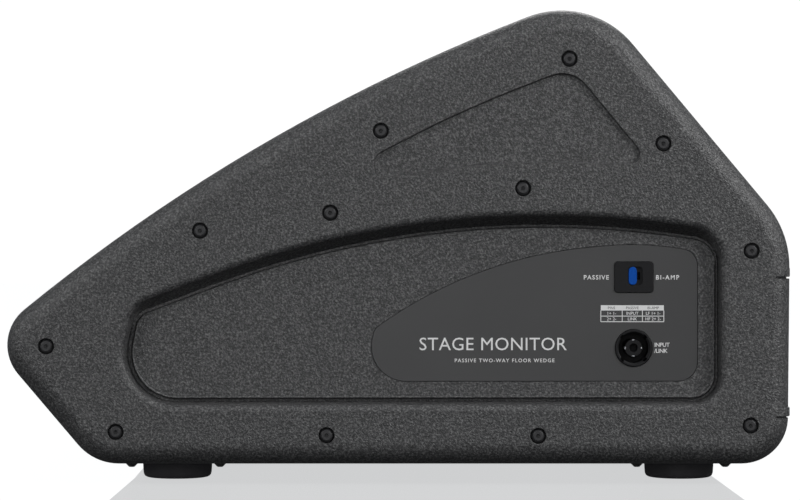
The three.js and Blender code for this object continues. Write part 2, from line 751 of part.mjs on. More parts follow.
// The yoke: a back plate and the pole that stands in the voice coil, with a vent through both.
const yokeProfile = [
  [8, yokeTop - 8],
  [70, yokeTop - 8],
  [70, yokeTop],
  [24, yokeTop],
  [24, plateTop + 1],
  [8, plateTop + 1],
  [8, yokeTop - 8],
];

const coneProfile = [
  [WOOFER.coil + 1, -43],
  [60, -28],
  [95, -12],
  [WOOFER.cone, 2.1],
  [WOOFER.cone, 0.5],
  [95, -13.6],
  [60, -29.6],
  [WOOFER.coil + 1, -45],
  [WOOFER.coil + 1, -43],
];

const dustCapProfile = [
  [0, -22],
  [16, -24.5],
  [30, -31.5],
  [36, -38],
  [33.5, -38.6],
  [28, -34],
  [15, -26.7],
  [0, -24.2],
];

// The half-roll that joins the cone's edge to the ledge inside the basket's flange.
function surroundProfile() {
  const inner = WOOFER.cone + 0.4;
  const outer = 138.6;
  const middle = (inner + outer) / 2;
  const low = 0.6 + GAP;
  const high = low + 1.2;
  const arch = (radius, lift, angles) => {
    return angles.map((angle) => {
      const radians = THREE.MathUtils.degToRad(angle);
      return [middle + radius * Math.cos(radians), lift + radius * Math.sin(radians)];
    });
  };
  const outerArch = arch(7, high, [180, 120, 60, 0]);
  const innerArch = arch(5.8, low, [0, 60, 120, 180]);
  return [[inner, low], [inner, high], ...outerArch, [outer, high], [outer, low], ...innerArch, [inner, low]];
}

add(woofer, "woofer_basket", wooferBasket(), blackSteel);
add(woofer, "woofer_top_plate", turned(ring(28, 56, plateTop - 8, plateTop), COARSE), steel);
add(woofer, "woofer_magnet", turned(ring(31, 78, magnetTop - 20, magnetTop), COARSE), ferrite);
add(woofer, "woofer_yoke", turned(yokeProfile, COARSE), steel);
const coilProfile = ring(WOOFER.coil - 0.7, WOOFER.coil + 0.7, -90, -43);
add(woofer, "woofer_voice_coil", turned(coilProfile, COARSE), copper);
add(woofer, "woofer_cone", turned(coneProfile, FINE), paper);
add(woofer, "woofer_dust_cap", turned(dustCapProfile, COARSE), paper);
add(woofer, "woofer_surround", turned(surroundProfile(), FINE), rubber);
add(woofer, "woofer_spider", turned(ring(WOOFER.coil + 1.2, 76, -60.5, -59), COARSE), foam);

// ---- Horn, its driver and the ports ----

const horn = new THREE.Group();
horn.position.set(...HORN_PLACE, 0);
onBaffle.add(horn);

// The flare's opening at a depth below the baffle: a rectangle that shrinks quickly, then slowly.
function flareLayers(extra, front) {
  const depths = [0, 0.25, 0.6, 1];
  const [mouthWidth, mouthHeight] = HORN.mouth;
  const layers = depths.map((share) => {
    const left = (1 - share) ** 2;
    const width = 2 * HORN.throat + (mouthWidth - 2 * HORN.throat) * left + 2 * extra;
    const height = 2 * HORN.throat + (mouthHeight - 2 * HORN.throat) * left + 2 * extra;
    return { outline: rectangle(height, width, HORN.throat - 3), y: -HORN.depth * share };
  });
  return [{ ...layers[0], y: front }, ...layers.slice(front === 0 ? 1 : 0)];
}

const upright = (geometry) => geometry.rotateX(Math.PI / 2);

function hornFlare() {
  const flange = plate(rectangle(HORN.height, HORN.width, 12), GAP, 4);
  const outer = upright(stack(flareLayers(HORN.wall, 1)));
  const innerLayers = flareLayers(0, 6);
  innerLayers.push({ outline: innerLayers.at(-1).outline, y: -HORN.depth - 1 });
  return cut(join(solid(flange), outer), upright(stack(innerLayers)));
}

const driverTop = -HORN.depth - GAP;
add(horn, "horn_flare", hornFlare(), moulded);
const driverBack = driverTop - HF_DRIVER.bodyDepth;
const disc = (radius, low, high) => [[0, low], [radius, low], [radius, high], [0, high]];
add(horn, "hf_driver_body", turned(disc(HF_DRIVER.radius, driverBack, driverTop), COARSE), ferrite);
const capTop = driverBack - GAP;
const driverCap = [[0, capTop - 16], [30, capTop - 16], [38, capTop - 10], [38, capTop], [0, capTop]];
add(horn, "hf_driver_cap", turned(driverCap, COARSE), moulded);

function portTube() {
  return turned(
    [
      [PORT.inner + 4, GAP + PORT.front],
      [PORT.flange, GAP + PORT.front],
      [PORT.flange, GAP],
      [PORT.outer, GAP],
      [PORT.outer, -PORT.length],
      [PORT.inner, -PORT.length],
      [PORT.inner, -6],
      [PORT.inner + 4, GAP + PORT.front],
    ],
    COARSE,
  );
}

PORT_PLACES.forEach(([x, y], i) => {
  const name = ["lower_port", "upper_port"][i];
  add(onBaffle, name, portTube(), moulded).position.set(x, y, 0);
});

// ---- Crossover and the leads inside the cabinet ----

const floorZ = boardUndersideZ + BOARD_THICKNESS;
const crossover = new THREE.Group();
crossover.position.set(150, -60, floorZ + GAP);
wedge.add(crossover);

const TRAY = { halfLength: 72, halfWidth: 52, floor: 3, postTop: 8, postRadius: 4 };
const CIRCUIT_BOARD = { halfLength: 68, halfWidth: 48, top: 9.9 };
const onBoard = CIRCUIT_BOARD.top + GAP;

// The tray that holds the crossover's board clear of the cabinet's floor on four posts.
function crossoverTray() {
  const { halfLength, halfWidth, floor, postTop, postRadius } = TRAY;
  const sheet = box([-halfLength, -halfWidth, 0], [halfLength, halfWidth, floor]);
  const postX = halfLength - 3 * postRadius;
  const postY = halfWidth - 3 * postRadius;
  const places = [[-postX, -postY], [postX, -postY], [-postX, postY], [postX, postY]];
  const posts = places.map(([x, y]) => plate(circle(x, y, postRadius, 8), floor - 1, postTop));
  return join(solid(sheet), ...posts);
}

function circuitBoard() {
  const { halfLength, halfWidth, top } = CIRCUIT_BOARD;
  return box([-halfLength, -halfWidth, TRAY.postTop + GAP], [halfLength, halfWidth, top]);
}

// A coil that stands on the board, and a capacitor that lies on it.
const inductor = (inner, outer, height) => turned(ring(inner, outer, onBoard, onBoard + height), COARSE);
const capacitor = (radius, length) => {
  const lying = turned(disc(radius, -length / 2, length / 2), 12).rotateY(Math.PI / 2);
  return lying.translate(0, 0, onBoard + radius + GAP);
};

add(crossover, "crossover_tray", crossoverTray(), moulded);
add(crossover, "crossover_board", circuitBoard(), circuitGreen);
add(crossover, "woofer_inductor", inductor(11, 27, 24), copper).position.set(-34, -14, 0);
add(crossover, "hf_inductor", inductor(8, 17, 16), copper).position.set(14, -26, 0);
add(crossover, "woofer_capacitor", capacitor(11, 44), sliderBlue).position.set(36, 26, 0);
add(crossover, "hf_capacitor", capacitor(8, 32), sliderBlue).position.set(50, -24, 0);

// A round lead along a smooth curve through a few points.
function lead(points, radius) {
  const path = new THREE.CatmullRomCurve3(points.map((point) => new THREE.Vector3(...point)));
  const section = new THREE.Shape(circle(0, 0, radius, 8));
  return new THREE.ExtrudeGeometry(section, { steps: 12, bevelEnabled: false, extrudePath: path });
}

const socketBack = faceY + SOCKET.length + 1;
const inputLead = [
  [SOCKET.x, socketBack, SOCKET.z],
  [SOCKET.x + 4, socketBack + 25, SOCKET.z - 2],
  [SOCKET.x + 22, socketBack + 55, SOCKET.z - 22],
  [SOCKET.x + 24, -132, 50],
  [SOCKET.x + 20, -106, 41.2],
];
const wooferLead = [
  [84, -40, 37.2],
  [98, -18, 62],
  [96, 30, 130],
  [62, 64, 196],
  [30, 70, 230],
];
const hfLead = [
  [84, -80, 37.2],
  [74, -104, 46],
  [56, -132, 78],
  [24, -155, 119],
];
add(wedge, "input_lead", lead(inputLead, 3), cableBlack);
add(wedge, "woofer_lead", lead(wooferLead, 2.5), cableBlack);
add(wedge, "hf_lead", lead(hfLead, 2), cableBlack);

// The wedge's middle stands over the origin, and its feet on the floor.
const bounds = new THREE.Box3().setFromObject(wedge);
wedge.position.x = -(bounds.min.x + bounds.max.x) / 2;
wedge.position.z = -FLOOR_Z;

export default wedge;
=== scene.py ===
import json
import math
import random

import bmesh
import bpy
import numpy as np
from mathutils import Matrix, Vector

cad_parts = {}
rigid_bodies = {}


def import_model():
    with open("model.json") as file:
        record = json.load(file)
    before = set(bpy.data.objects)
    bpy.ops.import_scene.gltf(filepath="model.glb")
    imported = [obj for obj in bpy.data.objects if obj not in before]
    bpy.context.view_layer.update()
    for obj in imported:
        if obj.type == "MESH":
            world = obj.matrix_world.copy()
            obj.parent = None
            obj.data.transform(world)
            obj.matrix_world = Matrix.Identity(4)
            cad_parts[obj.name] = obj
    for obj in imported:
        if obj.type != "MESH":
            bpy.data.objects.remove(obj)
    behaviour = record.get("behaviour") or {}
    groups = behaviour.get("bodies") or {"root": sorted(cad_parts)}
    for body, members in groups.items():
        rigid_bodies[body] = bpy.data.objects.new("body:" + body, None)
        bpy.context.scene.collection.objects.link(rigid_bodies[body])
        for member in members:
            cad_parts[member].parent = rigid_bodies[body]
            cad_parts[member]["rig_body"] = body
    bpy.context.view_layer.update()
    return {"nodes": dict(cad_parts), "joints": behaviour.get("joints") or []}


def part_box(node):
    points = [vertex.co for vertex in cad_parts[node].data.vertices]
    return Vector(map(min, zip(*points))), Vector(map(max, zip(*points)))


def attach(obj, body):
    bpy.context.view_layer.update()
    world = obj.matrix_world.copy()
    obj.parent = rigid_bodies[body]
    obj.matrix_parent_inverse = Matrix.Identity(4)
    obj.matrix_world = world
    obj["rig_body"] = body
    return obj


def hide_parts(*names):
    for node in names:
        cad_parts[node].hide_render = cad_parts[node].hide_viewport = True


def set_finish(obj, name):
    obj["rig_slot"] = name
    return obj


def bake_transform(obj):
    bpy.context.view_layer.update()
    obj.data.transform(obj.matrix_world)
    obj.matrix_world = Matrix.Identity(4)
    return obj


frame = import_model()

MM = 0.001
random.seed(7)


def centre_of(node):
    low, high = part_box(node)
    return [(low[i] + high[i]) / 2 / MM for i in range(3)]


# ---- Sizes of the side view ----

CHEEK_CORNERS = [
    (-298.5, 99.3, 33),
    (-107.4, 255.3, 1335),
    (138, 350.5, 67),
    (283.1, 176.9, 70),
    (281.5, 8.8, 34),
    (-221.5, 8.8, 39),
]
RECESS_CORNERS = [
    (-206, 52.5, 37),
    (-193, 123.2, 21),
    (33.5, 207, 690),
    (231.8, 176.5, 23),
    (231.8, 53, 20),
]
FLOOR_INSETS = [5, 8.5, 8.5, 3.8, 4]
PANEL_CORNERS = [
    (-18, 215.5, 5),
    (-18, 231.5, 8),
    (43.6, 264.7, 900),
    (124.1, 294.7, 22),
    (178, 229.5, 7),
    (166, 226, 3),
    (80, 228, 500),
]
PLATE_CORNERS = [
    (-26.1, 68.8, 25),
    (-18.1, 106.7, 8.5),
    (54, 157.7, 310),
    (172.7, 169, 205),
    (215.6, 163, 12),
    (215.7, 69, 14),
]
SCREWS = [
    (122.4, 301.5),
    (190.1, 240.4),
    (253.6, 163.1),
    (252.9, 37.2),
    (99.9, 29.8),
    (-52.6, 30.2),
    (-204.6, 32.6),
    (-254.7, 94.3),
    (-143.8, 177.6),
    (-50, 190.5),
    (-13.5, 249.6),
    (89, 208.2),
]
FIRST_SCREW = centre_of("cheek_screw_1")
SHIFT = (FIRST_SCREW[0] - SCREWS[0][0], FIRST_SCREW[2] - SCREWS[0][1])


def side_place(node):
    """A node's middle in the side view."""
    x, _, z = centre_of(node)
    return (x - SHIFT[0], z - SHIFT[1])


HALF_WIDTH = 270
CHEEK_INNER_Y = 240
EDGE_RADIUS = 16
FACE_Y = -260.3  # the front of the socket and the switch
FLOOR_Y = -259.0  # the recess floor, round the label plate
SOCKET = side_place("control_socket_core")
SWITCH = side_place("selector_switch_body")
SLIDER = side_place("selector_switch_slider")
FAN_CENTRE = (60, 130)
BOARD_INSET = 2
BOARD_THICKNESS = 12
CABINET_HALF_WIDTH = 227.4


# ---- Outlines ----


def corner_arcs(corners, inset=0):
    """For each corner: where its arc starts, its centre, how far it turns and its nominal radius."""
    count = len(corners)
    insets = inset if isinstance(inset, (list, tuple)) else [inset] * count
    points = [Vector(c[:2]) for c in corners]
    following = points[1:] + points[:1]
    area = sum(a.x * b.y - b.x * a.y for a, b in zip(points, following))
    winding = math.copysign(1, area)
    runs = []
    for i in range(count):
        along = (points[(i + 1) % count] - points[i]).normalized()
        inward = Vector((-along.y, along.x)) * winding
        runs.append((points[i] + inward * insets[i], along, insets[i]))
    arcs = []
    for i, corner in enumerate(corners):
        start_a, along_a, inset_a = runs[i - 1]
        start_b, along_b, inset_b = runs[i]
        cross = along_a.x * along_b.y - along_a.y * along_b.x
        turn = math.atan2(cross, along_a.dot(along_b))
        between = start_b - start_a
        reach = (between.x * along_b.y - between.y * along_b.x) / cross
        bend = max(corner[2] - (inset_a + inset_b) / 2 * math.copysign(1, turn) * winding, 0.1)
        begin = start_a + along_a * (reach - bend * math.tan(abs(turn) / 2))
        centre = begin + Vector((-along_a.y, along_a.x)) * bend * math.copysign(1, turn)
        arcs.append((begin, centre, turn, corner[2]))
    return arcs


def outline(corners, inset=0, error=0.04, steps=0):
    """The closed outline, its corners rounded, always with the same number of points whatever the inset."""
    fixed = steps
    made = []
    for begin, centre, turn, radius in corner_arcs(corners, inset):
        steps = fixed or max(4, math.ceil(abs(turn) / (2 * math.acos(1 - min(error / radius, 0.5)))))
        arm = begin - centre
        for k in range(steps + 1):
            made.append(centre + Matrix.Rotation(turn * k / steps, 2) @ arm)
    return [(p.x, p.y) for p in made]


def circle(x, z, radius, sides=48, turn=0.0):
    angles = [2 * math.pi * (k + turn) / sides for k in range(sides)]
    return [(x + radius * math.cos(a), z + radius * math.sin(a)) for a in angles]


def box_outline(x, z, width, height, radius):
    corners = [
        (x + i * width / 2, z + j * height / 2, radius)
        for i, j in ((-1, -1), (1, -1), (1, 1), (-1, 1))
    ]
    return outline(corners, steps=8)


# ---- Meshes, made in millimetres in the side view's frame ----


def side_view(rings, cap_start=True, cap_end=True):
    """A closed skin through matching outlines: rings is a list of (outline, y), with one y or one a point."""
    bm = bmesh.new()
    rows = []
    for points, y in rings:
        depths = y if isinstance(y, list) else [y] * len(points)
        rows.append([bm.verts.new((x, depth, z)) for (x, z), depth in zip(points, depths)])
    join_rows(bm, rows, cap_start, cap_end)
    return bm


def join_rows(bm, rows, cap_start=True, cap_end=True):
    for low, high in zip(rows, rows[1:]):
        count = len(low)
        for k in range(count):
            j = (k + 1) % count
            bm.faces.new((low[k], low[j], high[j], high[k]))
    if cap_start:
        bm.faces.new(rows[0])
    if cap_end:
        bm.faces.new(rows[-1][::-1])
    bmesh.ops.recalc_face_normals(bm, faces=bm.faces)


def turned(profile, sides=48, closed=True):
    """A skin turned about local z through [radius, z] points. A radius of 0 closes it with a fan."""
    bm = bmesh.new()
    rows = []
    for radius, z in profile:
        if radius == 0:
            rows.append([bm.verts.new((0, 0, z))])
        else:
            rows.append([bm.verts.new((x, y, z)) for x, y in circle(0, 0, radius, sides)])
    pairs = list(zip(rows, rows[1:]))
    if closed and profile[0][0] != 0:
        pairs.append((rows[-1], rows[0]))
    for low, high in pairs:
        for k in range(sides):
            j = (k + 1) % sides
            corners = [low[k % len(low)], low[j % len(low)], high[j % len(high)], high[k % len(high)]]
            unique = list(dict.fromkeys(corners))
            if len(unique) > 2:
                bm.faces.new(unique)
    bmesh.ops.recalc_face_normals(bm, faces=bm.faces)
    return bm


def merged(*parts):
    """Several meshes as one, each of them used up."""
    whole = parts[0]
    for part in parts[1:]:
        mesh = bpy.data.meshes.new("part")
        part.to_mesh(mesh)
        part.free()
        whole.from_mesh(mesh)
        bpy.data.meshes.remove(mesh)
    return whole


def placed(bm, matrix):
    bmesh.ops.transform(bm, matrix=matrix, verts=bm.verts)
    if matrix.determinant() < 0:
        bmesh.ops.reverse_faces(bm, faces=bm.faces)
    return bm


def as_object(bm, name="tool"):
    mesh = bpy.data.meshes.new(name)
    bm.to_mesh(mesh)
    bm.free()
    made = bpy.data.objects.new(name, mesh)
    bpy.context.scene.collection.objects.link(made)
    return made


def carved(bm, tool, operation="DIFFERENCE"):
    """The first mesh with the second cut from it or added to it. Both are used up."""
    body = as_object(bm, "body")
    cutter = as_object(tool, "cutter")
    modifier = body.modifiers.new("carve", "BOOLEAN")
    modifier.operation = operation
    modifier.solver = "MANIFOLD"
    modifier.object = cutter
    made = bmesh.new()
    made.from_object(body, bpy.context.evaluated_depsgraph_get())
    for used in (body, cutter):
        mesh = used.data
        bpy.data.objects.remove(used)
        bpy.data.meshes.remove(mesh)
    return made


def piece(name, bm, material, slot, body="cabinet", replaces=(), sharp=32, shift=True):
    """Finishes a mesh as a piece: metres, smooth but for its sharp edges, riding on its body."""
    if shift:
        bmesh.ops.translate(bm, verts=bm.verts, vec=(SHIFT[0], 0, SHIFT[1]))
    bmesh.ops.scale(bm, verts=bm.verts, vec=(MM, MM, MM))
    bmesh.ops.dissolve_degenerate(bm, dist=1e-7, edges=bm.edges)
    for face in bm.faces:
        face.smooth = True
    for edge in bm.edges:
        if len(edge.link_faces) == 2 and edge.calc_face_angle(0) > math.radians(sharp):
            edge.smooth = False
    mesh = bpy.data.meshes.new(name)
    bm.to_mesh(mesh)
    bm.free()
    mesh.materials.append(material)
    made = bpy.data.objects.new(name, mesh)
    bpy.context.scene.collection.objects.link(made)
    weighted = made.modifiers.new("shading", "WEIGHTED_NORMAL")
    weighted.keep_sharp = True
    weighted.weight = 100
    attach(made, body)
    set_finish(made, slot)
    if replaces:
        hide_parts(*replaces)
    return made


def copied(made, name, matrix, replaces=()):
    """Another piece with the same mesh, placed by a matrix in metres."""
    twin = bpy.data.objects.new(name, made.data)
    bpy.context.scene.collection.objects.link(twin)
    for modifier in made.modifiers:
        again = twin.modifiers.new(modifier.name, modifier.type)
        again.keep_sharp = True
        again.weight = 100
    twin.matrix_world = matrix
    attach(twin, made["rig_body"])
    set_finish(twin, made["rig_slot"])
    if replaces:
        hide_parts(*replaces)
    return twin


# ---- Materials ----


def srgb(*values):
    """Linear colour from sRGB steps of 0 to 255."""
    linear = [(v / 255 / 12.92) if v <= 10 else ((v / 255 + 0.055) / 1.055) ** 2.4 for v in values]
    return (*linear, 1)


class Look:
    """A node material in the making: its principled shader and a few ways to feed it."""

    def __init__(self, name, color, roughness, metallic=0.0):
        self.material = bpy.data.materials.new(name)
        self.material.use_nodes = True
        self.nodes = self.material.node_tree.nodes
        self.links = self.material.node_tree.links
        self.shader = self.nodes["Principled BSDF"]
        self.shader.inputs["Base Color"].default_value = color
        self.shader.inputs["Roughness"].default_value = roughness
        self.shader.inputs["Metallic"].default_value = metallic
        self.place = self.nodes.new("ShaderNodeTexCoord").outputs["Object"]

    def noise(self, scale, detail=2.0, roughness=0.5, stretch=None):
        node = self.nodes.new("ShaderNodeTexNoise")
        node.inputs["Scale"].default_value = scale
        node.inputs["Detail"].default_value = detail
        node.inputs["Roughness"].default_value = roughness
        source = self.place
        if stretch:
            mapping = self.nodes.new("ShaderNodeMapping")
            mapping.inputs["Scale"].default_value = stretch
            self.links.new(source, mapping.inputs["Vector"])
            source = mapping.outputs["Vector"]
        self.links.new(source, node.inputs["Vector"])
        return node.outputs["Fac"]

    def cells(self, scale, smooth=0.6):
        node = self.nodes.new("ShaderNodeTexVoronoi")
        node.feature = "SMOOTH_F1"
        node.inputs["Scale"].default_value = scale
        node.inputs["Smoothness"].default_value = smooth
        self.links.new(self.place, node.inputs["Vector"])
        return node.outputs["Distance"]

    def ramp(self, factor, *stops):
        node = self.nodes.new("ShaderNodeValToRGB")
        elements = node.color_ramp.elements
        while len(elements) < len(stops):
            elements.new(0.5)
        for element, (position, color) in zip(elements, stops):
            element.position = position
            element.color = color
        self.links.new(factor, node.inputs["Fac"])
        return node.outputs["Color"]

    def sum(self, first, second, share):
        node = self.nodes.new("ShaderNodeMath")
        node.operation = "MULTIPLY_ADD"
        self.links.new(second, node.inputs[0])
        node.inputs[1].default_value = share
        self.links.new(first, node.inputs[2])
        return node.outputs["Value"]

    def span(self, factor, low, high):
        node = self.nodes.new("ShaderNodeMapRange")
        node.inputs["To Min"].default_value = low
        node.inputs["To Max"].default_value = high
        self.links.new(factor, node.inputs["Value"])
        return node.outputs["Result"]

    def bump(self, height, strength, distance):
        node = self.nodes.new("ShaderNodeBump")
        node.inputs["Strength"].default_value = strength
        node.inputs["Distance"].default_value = distance
        self.links.new(height, node.inputs["Height"])
        self.links.new(node.outputs["Normal"], self.shader.inputs["Normal"])

    def feed(self, socket, output):
        self.links.new(output, self.shader.inputs[socket])


def textured_paint():
    """The thick black coating: a spatter of lumps about a millimetre across."""
    look = Look("textured_paint", srgb(66, 66, 68), 0.6)
    lumps = look.noise(640, 3, 0.7)
    grain = look.sum(lumps, look.cells(900), 0.35)
    dark, middle, light = srgb(38, 38, 39), srgb(62, 62, 63), srgb(104, 104, 104)
    look.feed("Base Color", look.ramp(lumps, (0.36, dark), (0.5, middle), (0.66, light)))
    look.feed("Roughness", look.span(lumps, 0.55, 0.3))
    look.bump(grain, 0.8, 0.0008)
    return look.material


def satin_label():
    look = Look("satin_label", srgb(50, 50, 51), 0.42)
    fine = look.noise(2200, 2)
    look.feed("Base Color", look.ramp(look.noise(14, 2), (0.3, srgb(48, 48, 49)), (0.7, srgb(52, 52, 53))))
    look.feed("Roughness", look.span(fine, 0.38, 0.5))
    look.bump(fine, 0.08, 0.0001)
    return look.material


def moulded_black():
    look = Look("moulded_black", srgb(20, 20, 22), 0.6)
    look.shader.inputs["Specular IOR Level"].default_value = 0.24
    fine = look.noise(1500, 3)
    look.feed("Base Color", look.ramp(fine, (0.3, srgb(15, 15, 17)), (0.7, srgb(26, 26, 28))))
    look.feed("Roughness", look.span(fine, 0.55, 0.72))
    look.bump(fine, 0.15, 0.0002)
    return look.material


def black_rubber():
    look = Look("black_rubber", srgb(62, 61, 64), 0.75)
    fine = look.noise(900, 4, 0.6)
    look.feed("Base Color", look.ramp(look.noise(60, 3), (0.3, srgb(57, 56, 59)), (0.7, srgb(68, 67, 70))))
    look.feed("Roughness", look.span(fine, 0.62, 0.85))
    look.bump(fine, 0.2, 0.0002)
    return look.material


def black_powder_steel():
    look = Look("black_powder_steel", srgb(34, 34, 37), 0.42)
    fine = look.noise(2600, 3)
    look.feed("Base Color", look.ramp(fine, (0.3, srgb(28, 28, 31)), (0.7, srgb(40, 40, 43))))
    look.feed("Roughness", look.span(fine, 0.36, 0.52))
    look.bump(fine, 0.2, 0.0001)
    return look.material


def black_oxide():
    look = Look("black_oxide", srgb(44, 44, 46), 0.5, 0.2)
    fine = look.noise(1800, 2)
    look.feed("Base Color", look.ramp(fine, (0.3, srgb(36, 36, 38)), (0.7, srgb(54, 54, 56))))
    look.feed("Roughness", look.span(fine, 0.42, 0.6))
    return look.material


def bare_steel():
    look = Look("bare_steel", srgb(150, 152, 156), 0.35, 1.0)
    brushed = look.noise(400, 2, 0.5, (1, 1, 12))
    look.feed("Roughness", look.span(brushed, 0.25, 0.45))
    look.feed("Base Color", look.ramp(brushed, (0.3, srgb(138, 140, 144)), (0.7, srgb(165, 167, 171))))
    return look.material


def ferrite():
    look = Look("ferrite", srgb(44, 44, 47), 0.7)
    grain = look.noise(700, 5, 0.7)
    look.feed("Base Color", look.ramp(grain, (0.3, srgb(38, 38, 41)), (0.7, srgb(56, 56, 60))))
    look.bump(grain, 0.3, 0.0003)
    return look.material


def pulp_paper():
    look = Look("pulp_paper", srgb(34, 33, 33), 0.85)
    fibres = look.noise(500, 5, 0.7, (1, 3, 1))
    look.feed("Base Color", look.ramp(fibres, (0.3, srgb(26, 25, 25)), (0.7, srgb(46, 45, 44))))
    look.bump(fibres, 0.3, 0.0003)
    return look.material


def open_foam():
    look = Look("open_foam", srgb(20, 20, 22), 0.95)
    pores = look.cells(700, 0.3)
    look.feed("Base Color", look.ramp(pores, (0.1, srgb(10, 10, 11)), (0.6, srgb(30, 30, 32))))
    look.bump(pores, 0.8, 0.0008)
    return look.material


def plywood():
    look = Look("plywood", srgb(176, 140, 96), 0.65)
    grain = look.noise(30, 5, 0.65, (1, 9, 9))
    look.feed("Base Color", look.ramp(grain, (0.3, srgb(150, 114, 74)), (0.7, srgb(196, 162, 116))))
    look.bump(grain, 0.15, 0.0003)
    return look.material


def copper_wire():
    look = Look("copper_wire", srgb(180, 104, 62), 0.3, 1.0)
    turns = look.nodes.new("ShaderNodeTexWave")
    turns.bands_direction = "Z"
    turns.inputs["Scale"].default_value = 320
    look.links.new(look.place, turns.inputs["Vector"])
    look.feed(
        "Base Color", look.ramp(turns.outputs["Fac"], (0.1, srgb(120, 62, 34)), (0.7, srgb(196, 118, 72))),
    )
    look.bump(turns.outputs["Fac"], 0.5, 0.0003)
    return look.material


def circuit_board():
    look = Look("circuit_board", srgb(30, 84, 52), 0.5)
    tracks = look.cells(90, 0.1)
    look.feed("Base Color", look.ramp(tracks, (0.2, srgb(26, 76, 46)), (0.5, srgb(38, 100, 62))))
    return look.material


def blue_plastic():
    look = Look("blue_plastic", srgb(6, 72, 160), 0.6)
    fine = look.noise(900, 2)
    look.feed("Base Color", look.ramp(fine, (0.3, srgb(4, 68, 156)), (0.7, srgb(10, 78, 166))))
    look.feed("Roughness", look.span(fine, 0.6, 0.7))
    look.shader.inputs["Specular IOR Level"].default_value = 0.12
    return look.material


def cable_sheath():
    look = Look("cable_sheath", srgb(24, 24, 26), 0.5)
    fine = look.noise(600, 3)
    look.feed("Base Color", look.ramp(fine, (0.3, srgb(20, 20, 22)), (0.7, srgb(32, 32, 34))))
    return look.material


def white_print():
    look = Look("white_print", srgb(222, 222, 222), 0.6)
    fine = look.noise(3000, 2)
    look.feed("Base Color", look.ramp(fine, (0.3, srgb(212, 212, 212)), (0.7, srgb(230, 230, 230))))
    return look.material


PAINT = textured_paint()
LABEL = satin_label()
MOULDED = moulded_black()
RUBBER = black_rubber()
POWDER = black_powder_steel()
OXIDE = black_oxide()
STEEL = bare_steel()
FERRITE = ferrite()
PAPER = pulp_paper()
FOAM = open_foam()
PLYWOOD = plywood()
COPPER = copper_wire()
CIRCUIT = circuit_board()
BLUE = blue_plastic()
SHEATH = cable_sheath()
PRINT = white_print()


# ---- Cheeks ----


def quarter(steps, last=90):
    """(inwards, outwards) shares of a rounded edge, from its side to its face."""
    angles = [math.radians(last * k / steps) for k in range(steps + 1)]
    return [(1 - math.cos(a), 1 - math.sin(a)) for a in angles]


def cheek_blank():
    rings = [(outline(CHEEK_CORNERS, 1), -CHEEK_INNER_Y)]
    rings.append((outline(CHEEK_CORNERS, 0.3), -CHEEK_INNER_Y - 0.3))
    rings.append((outline(CHEEK_CORNERS), -CHEEK_INNER_Y - 1))
    for inwards, outwards in quarter(10):
        rings.append((outline(CHEEK_CORNERS, EDGE_RADIUS * inwards), -(HALF_WIDTH - EDGE_RADIUS * outwards)))
    return side_view(rings)


LIP_RADIUS = 5.5
GROOVE_TOP = (150, -254.2)  # z and y of the groove's bottom along the recess's top edge
GROOVE_FOOT = (60, -256)  # and along its bottom edge, where it is shallower


def groove_depths(points):
    """The y of the groove's bottom for each point of an outline."""
    (high_z, high_y), (low_z, low_y) = GROOVE_TOP, GROOVE_FOOT
    shares = [min(1, max(0, (z - low_z) / (high_z - low_z))) for _, z in points]
    return [low_y + (high_y - low_y) * share for share in shares]


def recess_tool():
    """The recess down to the bottom of the groove that runs round its floor."""
    rings = [(outline(RECESS_CORNERS, -LIP_RADIUS), -(HALF_WIDTH + 2))]
    for outwards, inwards in quarter(8, 84):
        rings.append((outline(RECESS_CORNERS, -LIP_RADIUS * inwards), -(HALF_WIDTH - LIP_RADIUS * outwards)))
    rings.append((outline(RECESS_CORNERS, [0.5, 2.4, 2.4, 0.4, 0.4]), -259.2))
    bottom = outline(RECESS_CORNERS, [1.8, 5.6, 5.6, 1.4, 1.4])
    rings.append((bottom, groove_depths(bottom)))
    return side_view(rings)


def recess_island():
    """The raised floor of the recess, with a bed for the label plate and a thin bead along its low edges."""
    def ring(extra, y):
        return (outline(RECESS_CORNERS, [inset + extra for inset in FLOOR_INSETS]), y)
    low_z, high_z = 95, 140
    def bead(extra, proud):
        points = ring(extra, 0)[0]
        shares = [min(1, max(0, (high_z - z) / (high_z - low_z))) for _, z in points]
        return (points, [FLOOR_Y - proud * share for share in shares])
    edge = [
        ring(-1.6, GROOVE_TOP[1] + 1), ring(-0.6, FLOOR_Y + 1.2),
        bead(-0.3, -0.2), bead(0, 0.4), bead(0.4, 0.75),
    ]
    top = [bead(0.8, 0.7), bead(1.5, 0)]
    bed = side_view([(outline(PLATE_CORNERS, -0.45), FLOOR_Y - 2), (outline(PLATE_CORNERS, -0.35), -256.9)])
    return carved(side_view(edge + top), bed)


REAR_RIBS = [(144.4, 151.3, 1.65), (43.5, 50.2, 1.5)]  # low and high edges, and how far each is proud
RIB_WRAP = 77  # degrees that a rib runs round the rounded edge
RIB_STEPS = 12
SHADOW_LINE_DEPTH = 0.9
SHADOW_LINE_HEIGHT = 1.3


